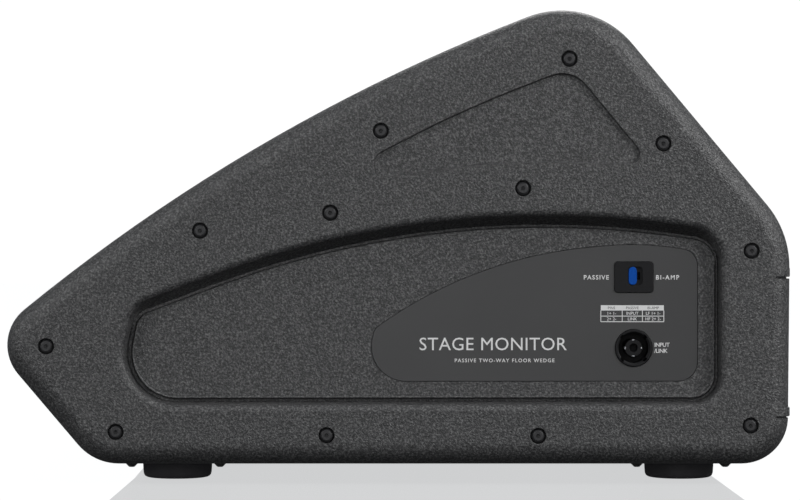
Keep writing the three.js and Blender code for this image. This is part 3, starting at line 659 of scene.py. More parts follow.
def rear_rib(low, high, proud):
    """A flat-topped rib round the rear edge, its long corners eased, that fades out on the face."""
    rear_x = CHEEK_CORNERS[4][0]
    section = [(low, -0.3), (low + 0.05, 0.75), (low + 0.4, 0.93), (low + 1, 1)]
    section += [(high - 1, 1), (high - 0.3, 0.8), (high, 0.4), (high + 0.2, -0.3)]
    bm = bmesh.new()
    rows = []
    for z, share in section:
        points = [(rear_x - 5, -CHEEK_INNER_Y - 0.6), (rear_x + proud * share, -CHEEK_INNER_Y - 0.6)]
        for k in range(RIB_STEPS + 1):
            angle = math.radians(RIB_WRAP * k / RIB_STEPS)
            fade = 1 - max(0, (k - 8) / 4) ** 1.5 * 1.15
            reach = EDGE_RADIUS + proud * min(share, share * fade)
            x = rear_x - EDGE_RADIUS + reach * math.cos(angle)
            points.append((x, -(HALF_WIDTH - EDGE_RADIUS) - reach * math.sin(angle)))
        points.append((rear_x - EDGE_RADIUS, -(HALF_WIDTH - 8)))
        rows.append([bm.verts.new((x, y, z)) for x, y in points])
    join_rows(bm, rows)
    return bm


def rib_shadow_line(low):
    """The fine groove that runs under a rib, as far round the rounded edge as the rib does."""
    rear_x = CHEEK_CORNERS[4][0]
    angles = [math.radians(RIB_WRAP * k / RIB_STEPS) for k in range(RIB_STEPS + 1)]
    depths = [SHADOW_LINE_DEPTH * min(1, (RIB_STEPS - k) / 4) for k in range(RIB_STEPS + 1)]
    centre_x, centre_y = rear_x - EDGE_RADIUS, -(HALF_WIDTH - EDGE_RADIUS)
    arms = [(EDGE_RADIUS + 5, angle) for angle in angles]
    arms += [(EDGE_RADIUS - depth, angle) for depth, angle in reversed(list(zip(depths, angles)))]
    points = [(rear_x + 5, -CHEEK_INNER_Y + 1)]
    points += [
        (centre_x + reach * math.cos(angle), centre_y - reach * math.sin(angle))
        for reach, angle in arms
    ]
    points.append((rear_x - SHADOW_LINE_DEPTH, -CHEEK_INNER_Y + 1))
    bm = bmesh.new()
    rows = [[bm.verts.new((x, y, z)) for x, y in points] for z in (low - SHADOW_LINE_HEIGHT, low - 0.02)]
    join_rows(bm, rows)
    return bm


def connector_holes(has_switch):
    holes = [side_view([(circle(*SOCKET, 13.9), -HALF_WIDTH), (circle(*SOCKET, 13.9), -CHEEK_INNER_Y + 2)])]
    if has_switch:
        hole = box_outline(*SWITCH, 28.7, 22.9, 2.7)
        holes.append(side_view([(hole, -HALF_WIDTH), (hole, -CHEEK_INNER_Y + 2)]))
    return merged(*holes)


def counterbores():
    tools = []
    for x, z in SCREWS:
        tools.append(side_view([
            (circle(x, z, 6.5), -HALF_WIDTH - 0.4),
            (circle(x, z, 5.85), -HALF_WIDTH + 0.4),
            (circle(x, z, 5.7), -HALF_WIDTH + 3.8),
            (circle(x, z, 3.0), -HALF_WIDTH + 4.2),
            (circle(x, z, 3.0), -CHEEK_INNER_Y + 2),
        ]))
    return merged(*tools)


def panel_tool():
    return side_view([
        (outline(PANEL_CORNERS, -1.2), -HALF_WIDTH - 1),
        (outline(PANEL_CORNERS, -0.5), -HALF_WIDTH + 0.3),
        (outline(PANEL_CORNERS, -0.1), -HALF_WIDTH + 1.2),
        (outline(PANEL_CORNERS, 0.4), -HALF_WIDTH + 2.3),
    ])


def cheek(has_switch):
    body = cheek_blank()
    for low, high, proud in REAR_RIBS:
        body = carved(body, rear_rib(low, high, proud), "UNION")
        body = carved(body, rib_shadow_line(low))
    body = carved(body, recess_tool())
    body = carved(body, recess_island(), "UNION")
    body = carved(body, panel_tool())
    body = carved(body, connector_holes(has_switch))
    return carved(body, counterbores())


FLIP_Y = Matrix.Diagonal((1, -1, 1, 1))


def both_sides(name, make, material, slot, node):
    """A piece on the control side and its mirror image on the far side. make is told if it is the first."""
    piece(f"control_{name}", make(True), material, slot, replaces=[f"control_{node}"])
    piece(f"far_{name}", placed(make(False), FLIP_Y), material, slot, replaces=[f"far_{node}"])


both_sides("cheek_moulding", cheek, PAINT, "textured_black", "cheek")


# ---- Label plates and their print ----


def label_plate(has_switch):
    rings = [(outline(PLATE_CORNERS, 0.1), -257.1), (outline(PLATE_CORNERS, 0), -258.9)]
    rings.append((outline(PLATE_CORNERS, 0.15), -259.15))
    holes = [side_view([(circle(*SOCKET, 13.8), -262), (circle(*SOCKET, 13.8), -250)])]
    if has_switch:
        hole = box_outline(*SWITCH, 28.6, 22.8, 2.6)
        holes.append(side_view([(hole, -262), (hole, -250)]))
    return carved(side_view(rings), merged(*holes))


both_sides("label_plate", label_plate, LABEL, "plate_grey", "plate")
PRINT_Y = -259.2


def word(text, x, z, height, spacing=1.0, weight=0.0, align="CENTER"):
    """Flat raised lettering, z at its baseline."""
    curve = bpy.data.curves.new("word", "FONT")
    curve.body = text
    curve.size = height / 0.7
    curve.space_character = spacing
    curve.align_x = align
    curve.offset = weight
    curve.extrude = 0.03
    curve.resolution_u = 3
    holder = bpy.data.objects.new("word", curve)
    bpy.context.scene.collection.objects.link(holder)
    mesh = bpy.data.meshes.new_from_object(holder.evaluated_get(bpy.context.evaluated_depsgraph_get()))
    made = bmesh.new()
    made.from_mesh(mesh)
    bpy.data.meshes.remove(mesh)
    bpy.data.objects.remove(holder)
    bpy.data.curves.remove(curve)
    bmesh.ops.remove_doubles(made, verts=made.verts, dist=1e-4)
    return placed(made, Matrix.Translation((x, PRINT_Y, z)) @ Matrix.Rotation(math.pi / 2, 4, "X"))


def bar(x0, x1, z0, z1):
    points = [(x0, z0), (x1, z0), (x1, z1), (x0, z1)]
    return side_view([(points, PRINT_Y - 0.03), (points, PRINT_Y + 0.03)])


TABLE_LEFT, TABLE_RIGHT = 145.7, 191.3
TABLE_LOW, TABLE_HIGH = 111.9, 123.8
TABLE_COLUMNS = (161.2, 175.8)
TABLE_HEADER_Z = TABLE_HIGH - 3.8


def table_middles():
    edges = (TABLE_LEFT, *TABLE_COLUMNS, TABLE_RIGHT)
    return [(low + high) / 2 for low, high in zip(edges, edges[1:])]


def table_heading():
    """Dark words on the table's light first row."""
    titles = ("PINS", "PASSIVE", "BI-AMP")
    words = [word(title, x, TABLE_HEADER_Z + 0.95, 1.9) for title, x in zip(titles, table_middles())]
    return placed(merged(*words), Matrix.Translation((0, -0.05, 0)))


def pin_table():
    """The small table of which pins carry what."""
    parts = [bar(TABLE_LEFT, TABLE_RIGHT, TABLE_HEADER_Z, TABLE_HIGH)]
    line = 0.28
    rows = (TABLE_HEADER_Z, (TABLE_HEADER_Z + TABLE_LOW) / 2, TABLE_LOW)
    for z in rows[1:]:
        parts.append(bar(TABLE_LEFT, TABLE_RIGHT, z - line, z + line))
    for x in (TABLE_LEFT, *TABLE_COLUMNS, TABLE_RIGHT):
        parts.append(bar(x - line, x + line, TABLE_LOW, TABLE_HEADER_Z))
    cells = (("1+ 1-", "INPUT", "LF 1+ 1-"), ("2+ 2-", "LINK", "HF 2+ 2-"))
    for texts, top in zip(cells, rows):
        for text, x in zip(texts, table_middles()):
            parts.append(word(text, x, top - 3.1, 2.2, weight=0.02))
    return parts


def legends(has_switch):
    parts = [word("INPUT", 184.4, 93.8, 2.9, 0.92, 0.05, "LEFT")]
    parts.append(word("/LINK", 184.4, 89.4, 2.9, 0.92, 0.05, "LEFT"))
    parts.append(word("STAGE MONITOR", 67.5, 91.3, 9.2, 1.04))
    parts.append(word("PASSIVE TWO-WAY FLOOR WEDGE", 76, 82.6, 2.6, 1.26, 0.04))
    if has_switch:
        parts.append(word("PASSIVE", 151.6, 142.5, 3.1, 1.24, 0.08, "RIGHT"))
        parts.append(word("BI-AMP", 185.4, 142.5, 3.1, 1.3, 0.08, "LEFT"))
        parts += pin_table()
    return merged(*parts)


def far_legends():
    """The far side's print: the same words, moved to mirrored places but never mirrored themselves."""
    return placed(legends(False), Matrix.Translation((2 * 118.5, 0, 0)) @ Matrix.Rotation(math.pi, 4, "Z"))


piece("control_label_print", legends(True), PRINT, "plate_grey", sharp=60)
piece("control_table_heading", table_heading(), LABEL, "plate_grey", sharp=60)
piece("far_label_print", far_legends(), PRINT, "plate_grey", sharp=60)


# ---- Screws ----


def hexagon(radius, sides):
    """Points of a hexagon, taken at even angles."""
    points = []
    for k in range(sides):
        angle = 2 * math.pi * k / sides
        fold = (angle % (math.pi / 3)) - math.pi / 6
        reach = radius * math.cos(math.pi / 6) / math.cos(fold)
        points.append((reach * math.cos(angle), reach * math.sin(angle)))
    return points


def button_screw(radius=5.45, height=3.2, socket=2.6, shank=2.5, length=36, sides=36):
    """A button-head screw with a hexagon socket, its head's underside at local z = 0, pointing down."""
    bm = bmesh.new()
    rows = [[bm.verts.new((0, 0, -length))]]
    def row(points, z):
        rows.append([bm.verts.new((x, y, z)) for x, y in points])
    row(circle(0, 0, shank * 0.8, sides), -length)
    row(circle(0, 0, shank, sides), -length + 1)
    row(circle(0, 0, shank, sides), 0)
    row(circle(0, 0, radius - 0.1, sides), 0)
    row(circle(0, 0, radius, sides), 0.2)
    for k in range(6):
        angle = math.radians(12 + 62 * k / 5)
        row(circle(0, 0, radius * math.cos(angle) * 1.02, sides), height * math.sin(angle) * 1.03)
    row(circle(0, 0, socket + 0.75, sides), height)
    row(hexagon(socket + 0.45, sides), height)
    row(hexagon(socket, sides), height - 0.4)
    row(hexagon(socket * 0.92, sides), height - 1.4)
    rows.append([bm.verts.new((0, 0, height - 2.2))])
    for low, high in zip(rows, rows[1:]):
        for k in range(sides):
            j = (k + 1) % sides
            corners = [low[k % len(low)], low[j % len(low)], high[j % len(high)], high[k % len(high)]]
            unique = list(dict.fromkeys(corners))
            if len(unique) > 2:
                bm.faces.new(unique)
    bmesh.ops.recalc_face_normals(bm, faces=bm.faces)
    return bm


def place_screw(x, y, z, normal, spin):
    turn = Vector(normal).to_track_quat("Z", "Y").to_matrix().to_4x4()
    return Matrix.Translation((x * MM, y * MM, z * MM)) @ turn @ Matrix.Rotation(spin, 4, "Z")


SEAT_Y = HALF_WIDTH - 3.8 + 0.3
pattern = None
for number, (x, z) in enumerate(SCREWS, 1):
    for side, sign in (("control", -1), ("far", 1)):
        matrix = place_screw(x + SHIFT[0], sign * SEAT_Y, z + SHIFT[1], (0, sign, 0), random.uniform(0, 1))
        stands_for = [f"cheek_screw_{number}"] if side == "control" else []
        if pattern is None:
            pattern = piece(f"{side}_screw_{number}", button_screw(), OXIDE, "screw_black", shift=False)
            pattern.matrix_world = matrix
            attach(pattern, "cabinet")
            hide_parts(*stands_for)
        else:
            copied(pattern, f"{side}_screw_{number}", matrix, stands_for)


# ---- Sockets and the selector ----


def socket_rings(profile):
    """A turned piece on the socket's axis: profile points are [radius, depth behind the front face]."""
    bm = turned([(radius, -depth) for radius, depth in profile], 64)
    onto = Matrix.Translation((SOCKET[0], FACE_Y, SOCKET[1])) @ Matrix.Rotation(math.pi / 2, 4, "X")
    return placed(bm, onto)


def socket_shell():
    shell = socket_rings([
        (11.6, 0.5), (11.9, 0.1), (12.3, 0), (13.0, 0),
        (13.35, 0.3), (13.4, 0.8), (13.4, 34), (0, 34), (0, 26),
        (11.6, 26), (11.6, 4.6), (10.9, 4.2), (10.9, 3.4), (11.6, 3),
    ])
    notches = []
    for k in range(4):
        angle = math.radians(45 + 90 * k)
        notch = box_outline(0, 0, 2.6, 3.2, 0.4)
        tool = side_view([(notch, FACE_Y - 1), (notch, FACE_Y + 20)])
        turn = Matrix.Rotation(angle, 4, "Y")
        tool = placed(
            tool, Matrix.Translation((SOCKET[0], 0, SOCKET[1])) @ turn @ Matrix.Translation((11.4, 0, 0)),
        )
        notches.append(tool)
    return carved(shell, merged(*notches))


def socket_core():
    core = socket_rings([
        (0, 25.7), (6.4, 25.7), (6.4, 3.6), (6.1, 3.1), (5.6, 3.0),
        (3.4, 3.0), (3.0, 3.4), (3.0, 14), (0, 14),
    ])
    slots = []
    for k in range(4):
        slot = box_outline(0, 0, 1.6, 2.2, 0.3)
        tool = side_view([(slot, FACE_Y + 2), (slot, FACE_Y + 18)])
        turn = Matrix.Rotation(math.radians(90 * k), 4, "Y")
        tool = placed(
            tool, Matrix.Translation((SOCKET[0], 0, SOCKET[1])) @ turn @ Matrix.Translation((6.2, 0, 0)),
        )
        slots.append(tool)
    return carved(core, merged(*slots))


def socket_contacts():
    """Four springy strips that lie in the core's slots."""
    strips = []
    for k in range(4):
        strip = box_outline(0, 0, 0.7, 1.5, 0.2)
        bm = side_view([(strip, FACE_Y + 5), (strip, FACE_Y + 17.5)])
        turn = Matrix.Rotation(math.radians(90 * k), 4, "Y")
        place = Matrix.Translation((SOCKET[0], 0, SOCKET[1])) @ turn @ Matrix.Translation((5.85, 0, 0))
        strips.append(placed(bm, place))
    return merged(*strips)


for side, matrix in (("control", Matrix.Identity(4)), ("far", FLIP_Y)):
    shell = placed(socket_shell(), matrix)
    core = placed(socket_core(), matrix)
    piece(f"{side}_socket_housing", shell, MOULDED, "moulded_black", replaces=[f"{side}_socket_shell"])
    piece(f"{side}_socket_centre", core, MOULDED, "moulded_black", replaces=[f"{side}_socket_core"])
    piece(f"{side}_socket_contacts", placed(socket_contacts(), matrix), STEEL, "bare_steel")


SLIDER_CAP_DEPTH = 1.5
SLIDER_STEM = (2.2, 5.0, 0.4)  # width, height and corner radius
SLOT_CLEARANCE = 0.25
TRAVEL = 4


def slot_tool(width, height, radius, front, back):
    """The space that a part of the slider sweeps, with a little clearance."""
    wide, tall = width + TRAVEL + 2 * SLOT_CLEARANCE, height + 2 * SLOT_CLEARANCE
    shape = box_outline(SLIDER[0] + TRAVEL / 2, SLIDER[1], wide, tall, radius)
    return side_view([(shape, FACE_Y + front), (shape, FACE_Y + back)])


def switch_body():
    """A flat-faced block, with a shallow slot for the slider's cap and a deep one for its stem."""
    body = side_view([
        (box_outline(*SWITCH, 27.5, 21.7, 2.0), FACE_Y),
        (box_outline(*SWITCH, 28.0, 22.2, 2.2), FACE_Y + 0.25),
        (box_outline(*SWITCH, 28.1, 22.3, 2.3), FACE_Y + 0.9),
        (box_outline(*SWITCH, 28.1, 22.3, 2.3), FACE_Y + 29),
    ])
    body = carved(body, slot_tool(6.1, 13.1, 2.8, -1, SLIDER_CAP_DEPTH + SLOT_CLEARANCE))
    return carved(body, slot_tool(*SLIDER_STEM, SLIDER_CAP_DEPTH - 0.5, 9.6))


def switch_slider():
    """A bar with round ends on a narrow stem."""
    shape = [
        (5.2, 12.2, 2.5, 0.2), (5.9, 12.9, 2.8, 0.5),
        (6.1, 13.1, 2.9, 1.0), (6.1, 13.1, 2.9, SLIDER_CAP_DEPTH),
    ]
    cap = side_view([(box_outline(*SLIDER, w, h, r), FACE_Y + depth) for w, h, r, depth in shape])
    stem_shape = box_outline(*SLIDER, *SLIDER_STEM)
    stem = side_view([(stem_shape, FACE_Y + SLIDER_CAP_DEPTH - 0.5), (stem_shape, FACE_Y + 8.7)])
    return carved(cap, stem, "UNION")


piece("selector_switch_frame", switch_body(), MOULDED, "moulded_black", replaces=["selector_switch_body"])
piece(
    "selector_slider_bar", switch_slider(), BLUE, "blue_plastic", "selector_slider",
    replaces=["selector_switch_slider"],
)


# ---- The cabinet's boards, which follow the side view ----


class Track:
    """The side view's outline as a track: a place for each distance along it, and the way out."""

    def __init__(self):
        points = []
        normals = []
        for begin, centre, turn, radius in corner_arcs(CHEEK_CORNERS):
            steps = max(6, math.ceil(abs(turn) / (2 * math.acos(1 - 0.02 / radius))))
            for k in range(steps + 1):
                arm = Matrix.Rotation(turn * k / steps, 2) @ (begin - centre)
                points.append(centre + arm)
                normals.append(arm.normalized())
        points.append(points[0])
        normals.append(normals[0])
        self.points = np.array(points)
        self.normals = np.array(normals)
        steps = np.linalg.norm(np.diff(self.points, axis=0), axis=1)
        self.lengths = np.concatenate([[0], np.cumsum(steps)])
        self.total = self.lengths[-1]

    def at(self, distance, inset):
        """The point at a distance along the outline, some way inside it."""
        distance = np.mod(distance, self.total)
        x = np.interp(distance, self.lengths, self.points[:, 0] - inset * self.normals[:, 0])
        z = np.interp(distance, self.lengths, self.points[:, 1] - inset * self.normals[:, 1])
        return x, z

    def towards(self, degrees):
        """The distance along at which the outline is met by a line from the fan centre."""
        distances = np.linspace(0, self.total, 20001)
        x, z = self.at(distances, BOARD_INSET)
        angles = np.degrees(np.arctan2(z - FAN_CENTRE[1], x - FAN_CENTRE[0])) % 360
        gap = np.abs((angles - degrees + 180) % 360 - 180)
        return distances[int(np.argmin(gap))]

    def stretch(self, start, end):
        """Distances from start to end, with all the outline's own points between them."""
        span = (end - start) % self.total
        own = [(d - start) % self.total for d in self.lengths]
        inner = sorted(d for d in own if 0.5 < d < span - 0.5)
        stops = [0.0]
        for d in [*inner, span]:
            if d - stops[-1] > 0.2:
                stops.append(d)
        return [start + d for d in stops]


TRACK = Track()


def between(first_degrees, last_degrees):
    """The two distances along the track at these bearings, in the track's own order."""
    start, end = TRACK.towards(first_degrees), TRACK.towards(last_degrees)
    if (end - start) % TRACK.total > TRACK.total / 2:
        start, end = end, start
    return (start, end + TRACK.total) if end < start else (start, end)


def curved_sheet(points, faces, outer, inner):
    """A flat pattern of (distance, y) points and faces, laid on the track as a closed sheet."""
    distances = np.array([p[0] for p in points])
    across = np.array([p[1] for p in points])
    bm = bmesh.new()
    layers = []
    for inset in (outer, inner):
        x, z = TRACK.at(distances, inset)
        layers.append([bm.verts.new(p) for p in zip(x, across, z)])
    used = {}
    for face in faces:
        for a, b in zip(face, face[1:] + face[:1]):
            used[(a, b)] = used.get((a, b), 0) + 1
    for face in faces:
        bm.faces.new([layers[0][i] for i in face])
        bm.faces.new([layers[1][i] for i in reversed(face)])
    for a, b in used:
        if (b, a) not in used:
            bm.faces.new((layers[0][b], layers[0][a], layers[1][a], layers[1][b]))
    bmesh.ops.recalc_face_normals(bm, faces=bm.faces)
    return bm


def grid_sheet(stops, rows, outer, inner, skip=lambda i, j: False):
    """A sheet over a grid of distances and y values, but for the cells that skip names."""
    points = [(s, y) for s in stops for y in rows]
    faces = []
    for i in range(len(stops) - 1):
        for j in range(len(rows) - 1):
            if not skip(i, j):
                a = i * len(rows) + j
                faces.append([a, a + 1, a + len(rows) + 1, a + len(rows)])
    return curved_sheet(points, faces, outer, inner)


SPANS = {
    "apex_rail": (56.3, 81.2),
    "back_panel": (19.5, 56.2),
    "rear_panel": (-30.4, 19.4),
    "base_panel": (192.1, 329.5),
    "nose_rail": (181.3, 192.0),
}


def board(name):
    """A board along the outline between two bearings, its ends drawn back 0.15 mm from them."""
    first, last = between(*SPANS[name])
    stops = TRACK.stretch(first + 0.15, last - 0.15)
    half = CABINET_HALF_WIDTH
    return grid_sheet(stops, [-half, -half / 3, half / 3, half], BOARD_INSET, BOARD_INSET + BOARD_THICKNESS)


RIM_RADIUS = 36.6
LUG_BEARING = math.radians(26.3)


def foot_surround(x, y):
    """The shallow rim round a foot, and the two lugs to its front and the two to its rear."""
    whole = turned([(34.6, 7.9), (35, 7.4), (38.2, 7.4), (38.6, 7.9), (39.1, 11.8), (34.1, 11.8)], 96)
    for side in (-1, 1):
        for across in (-1, 1):
            lug = turned([(0, 2.6), (1.8, 2.6), (2.3, 2.9), (4.4, 5), (4.6, 5.6), (4.6, 11.8), (0, 11.8)], 32)
            along_x = side * RIM_RADIUS * math.cos(LUG_BEARING)
            across_y = across * RIM_RADIUS * math.sin(LUG_BEARING)
            whole = carved(whole, placed(lug, Matrix.Translation((along_x, across_y, 0))), "UNION")
    return placed(whole, Matrix.Translation((x, y, 0)))


FEET = {}
for end in ("front", "rear"):
    for side in ("control", "far"):
        node = f"foot_{end}_{side}_side"
        x, y, _ = centre_of(node)
        FEET[node] = (x - SHIFT[0], y)


def base_board():
    base = board("base_panel")
    for x, y in FEET.values():
        base = carved(base, foot_surround(x, y), "UNION")
    return base


# The handle's own frame: x down the back slope, y across, z outwards.
BACK_TOP = Vector(CHEEK_CORNERS[2][:2])
BACK_BOTTOM = Vector(CHEEK_CORNERS[3][:2])
DOWN = (BACK_BOTTOM - BACK_TOP).normalized()
OUT = Vector((-DOWN.y, DOWN.x))
HANDLE_PLACE = BACK_TOP + DOWN * 127 - OUT * BOARD_INSET
HANDLE_FRAME = Matrix((
    (DOWN.x, 0, OUT.x, HANDLE_PLACE.x),
    (0, 1, 0, 0),
    (DOWN.y, 0, OUT.y, HANDLE_PLACE.y),
    (0, 0, 0, 1),
))


def layers_up(layers, cap_start=True, cap_end=True):
    """A closed skin through outlines stacked along local z: layers is a list of (outline, z)."""
    bm = bmesh.new()
    rows = [[bm.verts.new((x, y, z)) for x, y in points] for points, z in layers]
    join_rows(bm, rows, cap_start, cap_end)
    return bm


def back_board():
    hole = box_outline(0, 0, 79.2, 177.2, 14.6)
    return carved(board("back_panel"), placed(layers_up([(hole, -40), (hole, 20)]), HANDLE_FRAME))


def handle_cup():
    """A deep moulded pocket with a rounded lip: one skin from its back, round its lip, to its floor."""
    def ring(width, height, radius, z):
        return (box_outline(0, 0, width, height, radius), z)
    layers = [
        ring(74, 172, 12, -50), ring(78, 176, 14, -47.5), ring(78, 176, 14, 0.2), ring(98, 196, 23.4, 0.25),
        ring(100, 198, 24, 0.7), ring(99.2, 197.2, 23.7, 1.4), ring(97.6, 195.6, 23, 1.9),
        ring(82, 180, 15, 2.1),
        ring(78.5, 176.5, 14, 1.7), ring(75.6, 173.6, 12.8, 0.4), ring(74, 172, 12, -2),
        ring(72, 170, 11, -38), ring(70.5, 168.5, 10.3, -43), ring(66, 164, 8, -46.2), ring(60, 158, 5, -47),
    ]
    return placed(layers_up(layers), HANDLE_FRAME)


piece("apex_rail_board", board("apex_rail"), PAINT, "textured_black", replaces=["apex_rail"])
piece("back_panel_board", back_board(), PAINT, "textured_black", replaces=["back_panel"])
piece("rear_panel_board", board("rear_panel"), PAINT, "textured_black", replaces=["rear_panel"])
piece("base_panel_board", base_board(), PAINT, "textured_black", replaces=["base_panel"])
piece("nose_rail_board", board("nose_rail"), PAINT, "textured_black", replaces=["nose_rail"])
piece("handle_pocket", handle_cup(), MOULDED, "moulded_black", replaces=["handle_cup"])

small_screw = None
for number, (x, y) in enumerate([(-44, -60), (-44, 0), (-44, 60), (44, -60), (44, 0), (44, 60)], 1):
    place = HANDLE_FRAME @ Vector((x, y, 2.0))
    out = HANDLE_FRAME.to_3x3() @ Vector((0, 0, 1))
    matrix = place_screw(place.x + SHIFT[0], place.y, place.z + SHIFT[1], out, random.uniform(0, 1))
    if small_screw is None:
        mesh = button_screw(3.6, 1.9, 1.5, 1.7, 16, 30)
        small_screw = piece(f"handle_screw_{number}", mesh, OXIDE, "screw_black", shift=False)
        small_screw.matrix_world = matrix
        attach(small_screw, "cabinet")
    else:
        copied(small_screw, f"handle_screw_{number}", matrix)


def side_board(window_top):
    rings = [(outline(CHEEK_CORNERS, BOARD_INSET), -239.7), (outline(CHEEK_CORNERS, BOARD_INSET), -227.7)]
    opening = [(144, 72), (192, 72), (192, window_top), (144, window_top)]
    tools = [side_view([(opening, -245), (opening, -220)])]
    tools += [side_view([(circle(x, z, 3, 24), -245), (circle(x, z, 3, 24), -220)]) for x, z in SCREWS]
    return carved(side_view(rings), merged(*tools))


piece("control_board", side_board(162), PAINT, "plywood", replaces=["control_side_board"])
piece("far_board", placed(side_board(115), FLIP_Y), PAINT, "plywood", replaces=["far_side_board"])


# ---- Grille and foam ----

GRILLE_HALF_WIDTH = 226.4
RIM = 9
PITCH = 8.0
HOLE = 3.15  # half of a hexagonal hole's width across its flats


def perforated(start, end):
    """Hexagonal holes in a honeycomb of thin webs."""
    corner = PITCH / math.sqrt(3)
    row_step = PITCH * math.sqrt(3) / 2
    hole_corner = HOLE / math.cos(math.pi / 6)
    half = GRILLE_HALF_WIDTH - RIM + PITCH / 2
    low, high = start + RIM - corner / 2, end - RIM + corner / 2
    row_count = int((high - low - corner) / row_step) + 1
    spare = (high - low - (row_count - 1) * row_step) / 2
    points = []
    faces = []
    known = {}

    def point(s, y):
        key = (round(s, 2), round(y, 2))
        if key not in known:
            known[key] = len(points)
            points.append((s, y))
        return known[key]

    for i in range(row_count):
        s = low + spare + i * row_step
        count = int((2 * half - PITCH * (1 + 0.5 * (i % 2))) / PITCH) + 1
        for j in range(count):
            y = -half + PITCH / 2 + PITCH * (j + 0.5 * (i % 2))
            around = [math.radians(60 * k) for k in range(6)]
            cell = [point(s + corner * math.cos(a), y + corner * math.sin(a)) for a in around]
            hole = [point(s + hole_corner * math.cos(a), y + hole_corner * math.sin(a)) for a in around]
            for k in range(6):
                j2 = (k + 1) % 6
                faces.append([cell[k], cell[j2], hole[j2], hole[k]])
    return points, faces


GRILLE_START, GRILLE_END = between(81.7, 180.8)


def grille():
    start, end = GRILLE_START, GRILLE_END
    points, faces = perforated(start, end)
    sheet = curved_sheet(points, faces, BOARD_INSET + 0.2, BOARD_INSET + 1.5)
    stops = TRACK.stretch(start, end)
    inner = [s for s in stops if start + RIM + 1 < s < end - RIM - 1]
    stops = [start, start + RIM, *inner, end - RIM, end]
    half = GRILLE_HALF_WIDTH
    rows = [-half, -half + RIM, half - RIM, half]
    last = len(stops) - 2
    rim = grid_sheet(stops, rows, BOARD_INSET - 0.2, BOARD_INSET + 1.7, lambda i, j: j == 1 and 0 < i < last)
    return merged(sheet, rim)


def foam():
    return grid_sheet(TRACK.stretch(*between(84.0, 178.5)), [-221.4, -70, 70, 221.4], 4.1, 7.9)


piece("perforated_grille", grille(), POWDER, "black_steel", replaces=["grille"])
piece("grille_backing_foam", foam(), FOAM, "foam_black", replaces=["grille_foam"])

number = 0
for distance in (GRILLE_START + RIM / 2, GRILLE_END - RIM / 2):
    seat = TRACK.at(distance, BOARD_INSET - 0.2)
    below = TRACK.at(distance, BOARD_INSET + 1)
    out = (seat[0] - below[0], 0, seat[1] - below[1])
    for y in (-205, 0, 205):
        number += 1
        matrix = place_screw(seat[0] + SHIFT[0], y, seat[1] + SHIFT[1], out, random.uniform(0, 1))
        copied(small_screw, f"grille_screw_{number}", matrix)


# ---- Feet ----


FOOT_WELL_TOP = 10  # above the floor
FOOT_TOP = 10.5  # in the side view


def rubber_foot():
    floor = -SHIFT[1]
    well = floor + FOOT_WELL_TOP
    return turned([
        (3, FOOT_TOP), (3, well), (7.5, well), (7.5, floor + 0.6), (8.1, floor), (21.8, floor),
        (23.1, floor + 0.3), (24.3, floor + 1), (25, floor + 2), (25.4, floor + 3.4), (25.6, floor + 6),
        (25.9, floor + 11), (26.1, FOOT_TOP - 0.5), (25.8, FOOT_TOP),
    ], 96)


for name, (x, y) in FEET.items():
    bm = placed(rubber_foot(), Matrix.Translation((x, y, 0)))
    piece(name.replace("foot_", "rubber_foot_"), bm, RUBBER, "rubber_black", replaces=[name])
    screw = place_screw(x + SHIFT[0], y, FOOT_WELL_TOP, (0, 0, -1), 0.3)
    copied(small_screw, name.replace("foot_", "foot_screw_"), screw)


# ---- The woofer's surround and spider, at their rest shape ----

BAFFLE_OUT = Vector(next(j for j in frame["joints"] if j["name"] == "cone_travel")["axis"]).normalized()
BAFFLE_UP = Vector((BAFFLE_OUT.z, 0, -BAFFLE_OUT.x))


def woofer_frame():
    """The woofer's own frame in metres: z out along its axis, origin on the baffle's face."""
    low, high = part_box("woofer_surround")
    origin = (low + high) / 2 - BAFFLE_OUT * 1.5 * MM
    return Matrix((
        (BAFFLE_UP.x, 0, BAFFLE_OUT.x, origin.x),
        (BAFFLE_UP.y, 1, BAFFLE_OUT.y, origin.y),
        (BAFFLE_UP.z, 0, BAFFLE_OUT.z, origin.z),
        (0, 0, 0, 1),
    ))


WOOFER_FRAME = woofer_frame()


def front_of(node):
    """How far a node reaches out along the woofer's axis, in metres."""
    inverse = WOOFER_FRAME.inverted()
    return max((inverse @ v.co).z for v in frame["nodes"][node].data.vertices)


def baffle_screws(name, node, places):
    """Small screws on a flange that lies on the baffle. Places are from the woofer's axis."""
    front = front_of(node)
    for number, (up, across) in enumerate(places, 1):
        matrix = (
            WOOFER_FRAME @ Matrix.Translation((up * MM, across * MM, front))
            @ Matrix.Rotation(number, 4, "Z")
        )
        copied(small_screw, f"{name}_screw_{number}", matrix)


def middle_of(node):
    """A node's middle in the woofer's frame, in millimetres."""
    low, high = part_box(node)
    return (WOOFER_FRAME.inverted() @ ((low + high) / 2)) / MM


baffle_screws("woofer", "woofer_basket", circle(0, 0, 147.8, 8, 0.5))
HORN_ACROSS = middle_of("horn_flare").y
baffle_screws("horn", "horn_flare", [(x, HORN_ACROSS + y) for x in (-80, 0, 80) for y in (-59.5, 59.5)])


def stretching_ring(name, profile, material, slot, node):
    """A ring turned in the woofer's frame at its rest shape, riding on no body."""
    bm = turned(profile, 96)
    made = piece(name, placed(bm, Matrix.Identity(4)), material, slot, replaces=[node], shift=False)
    mesh = made.data
    mesh.transform(WOOFER_FRAME)
    made.parent = None
    made.matrix_world = Matrix.Identity(4)
    del made["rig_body"]
    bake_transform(made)
    return made


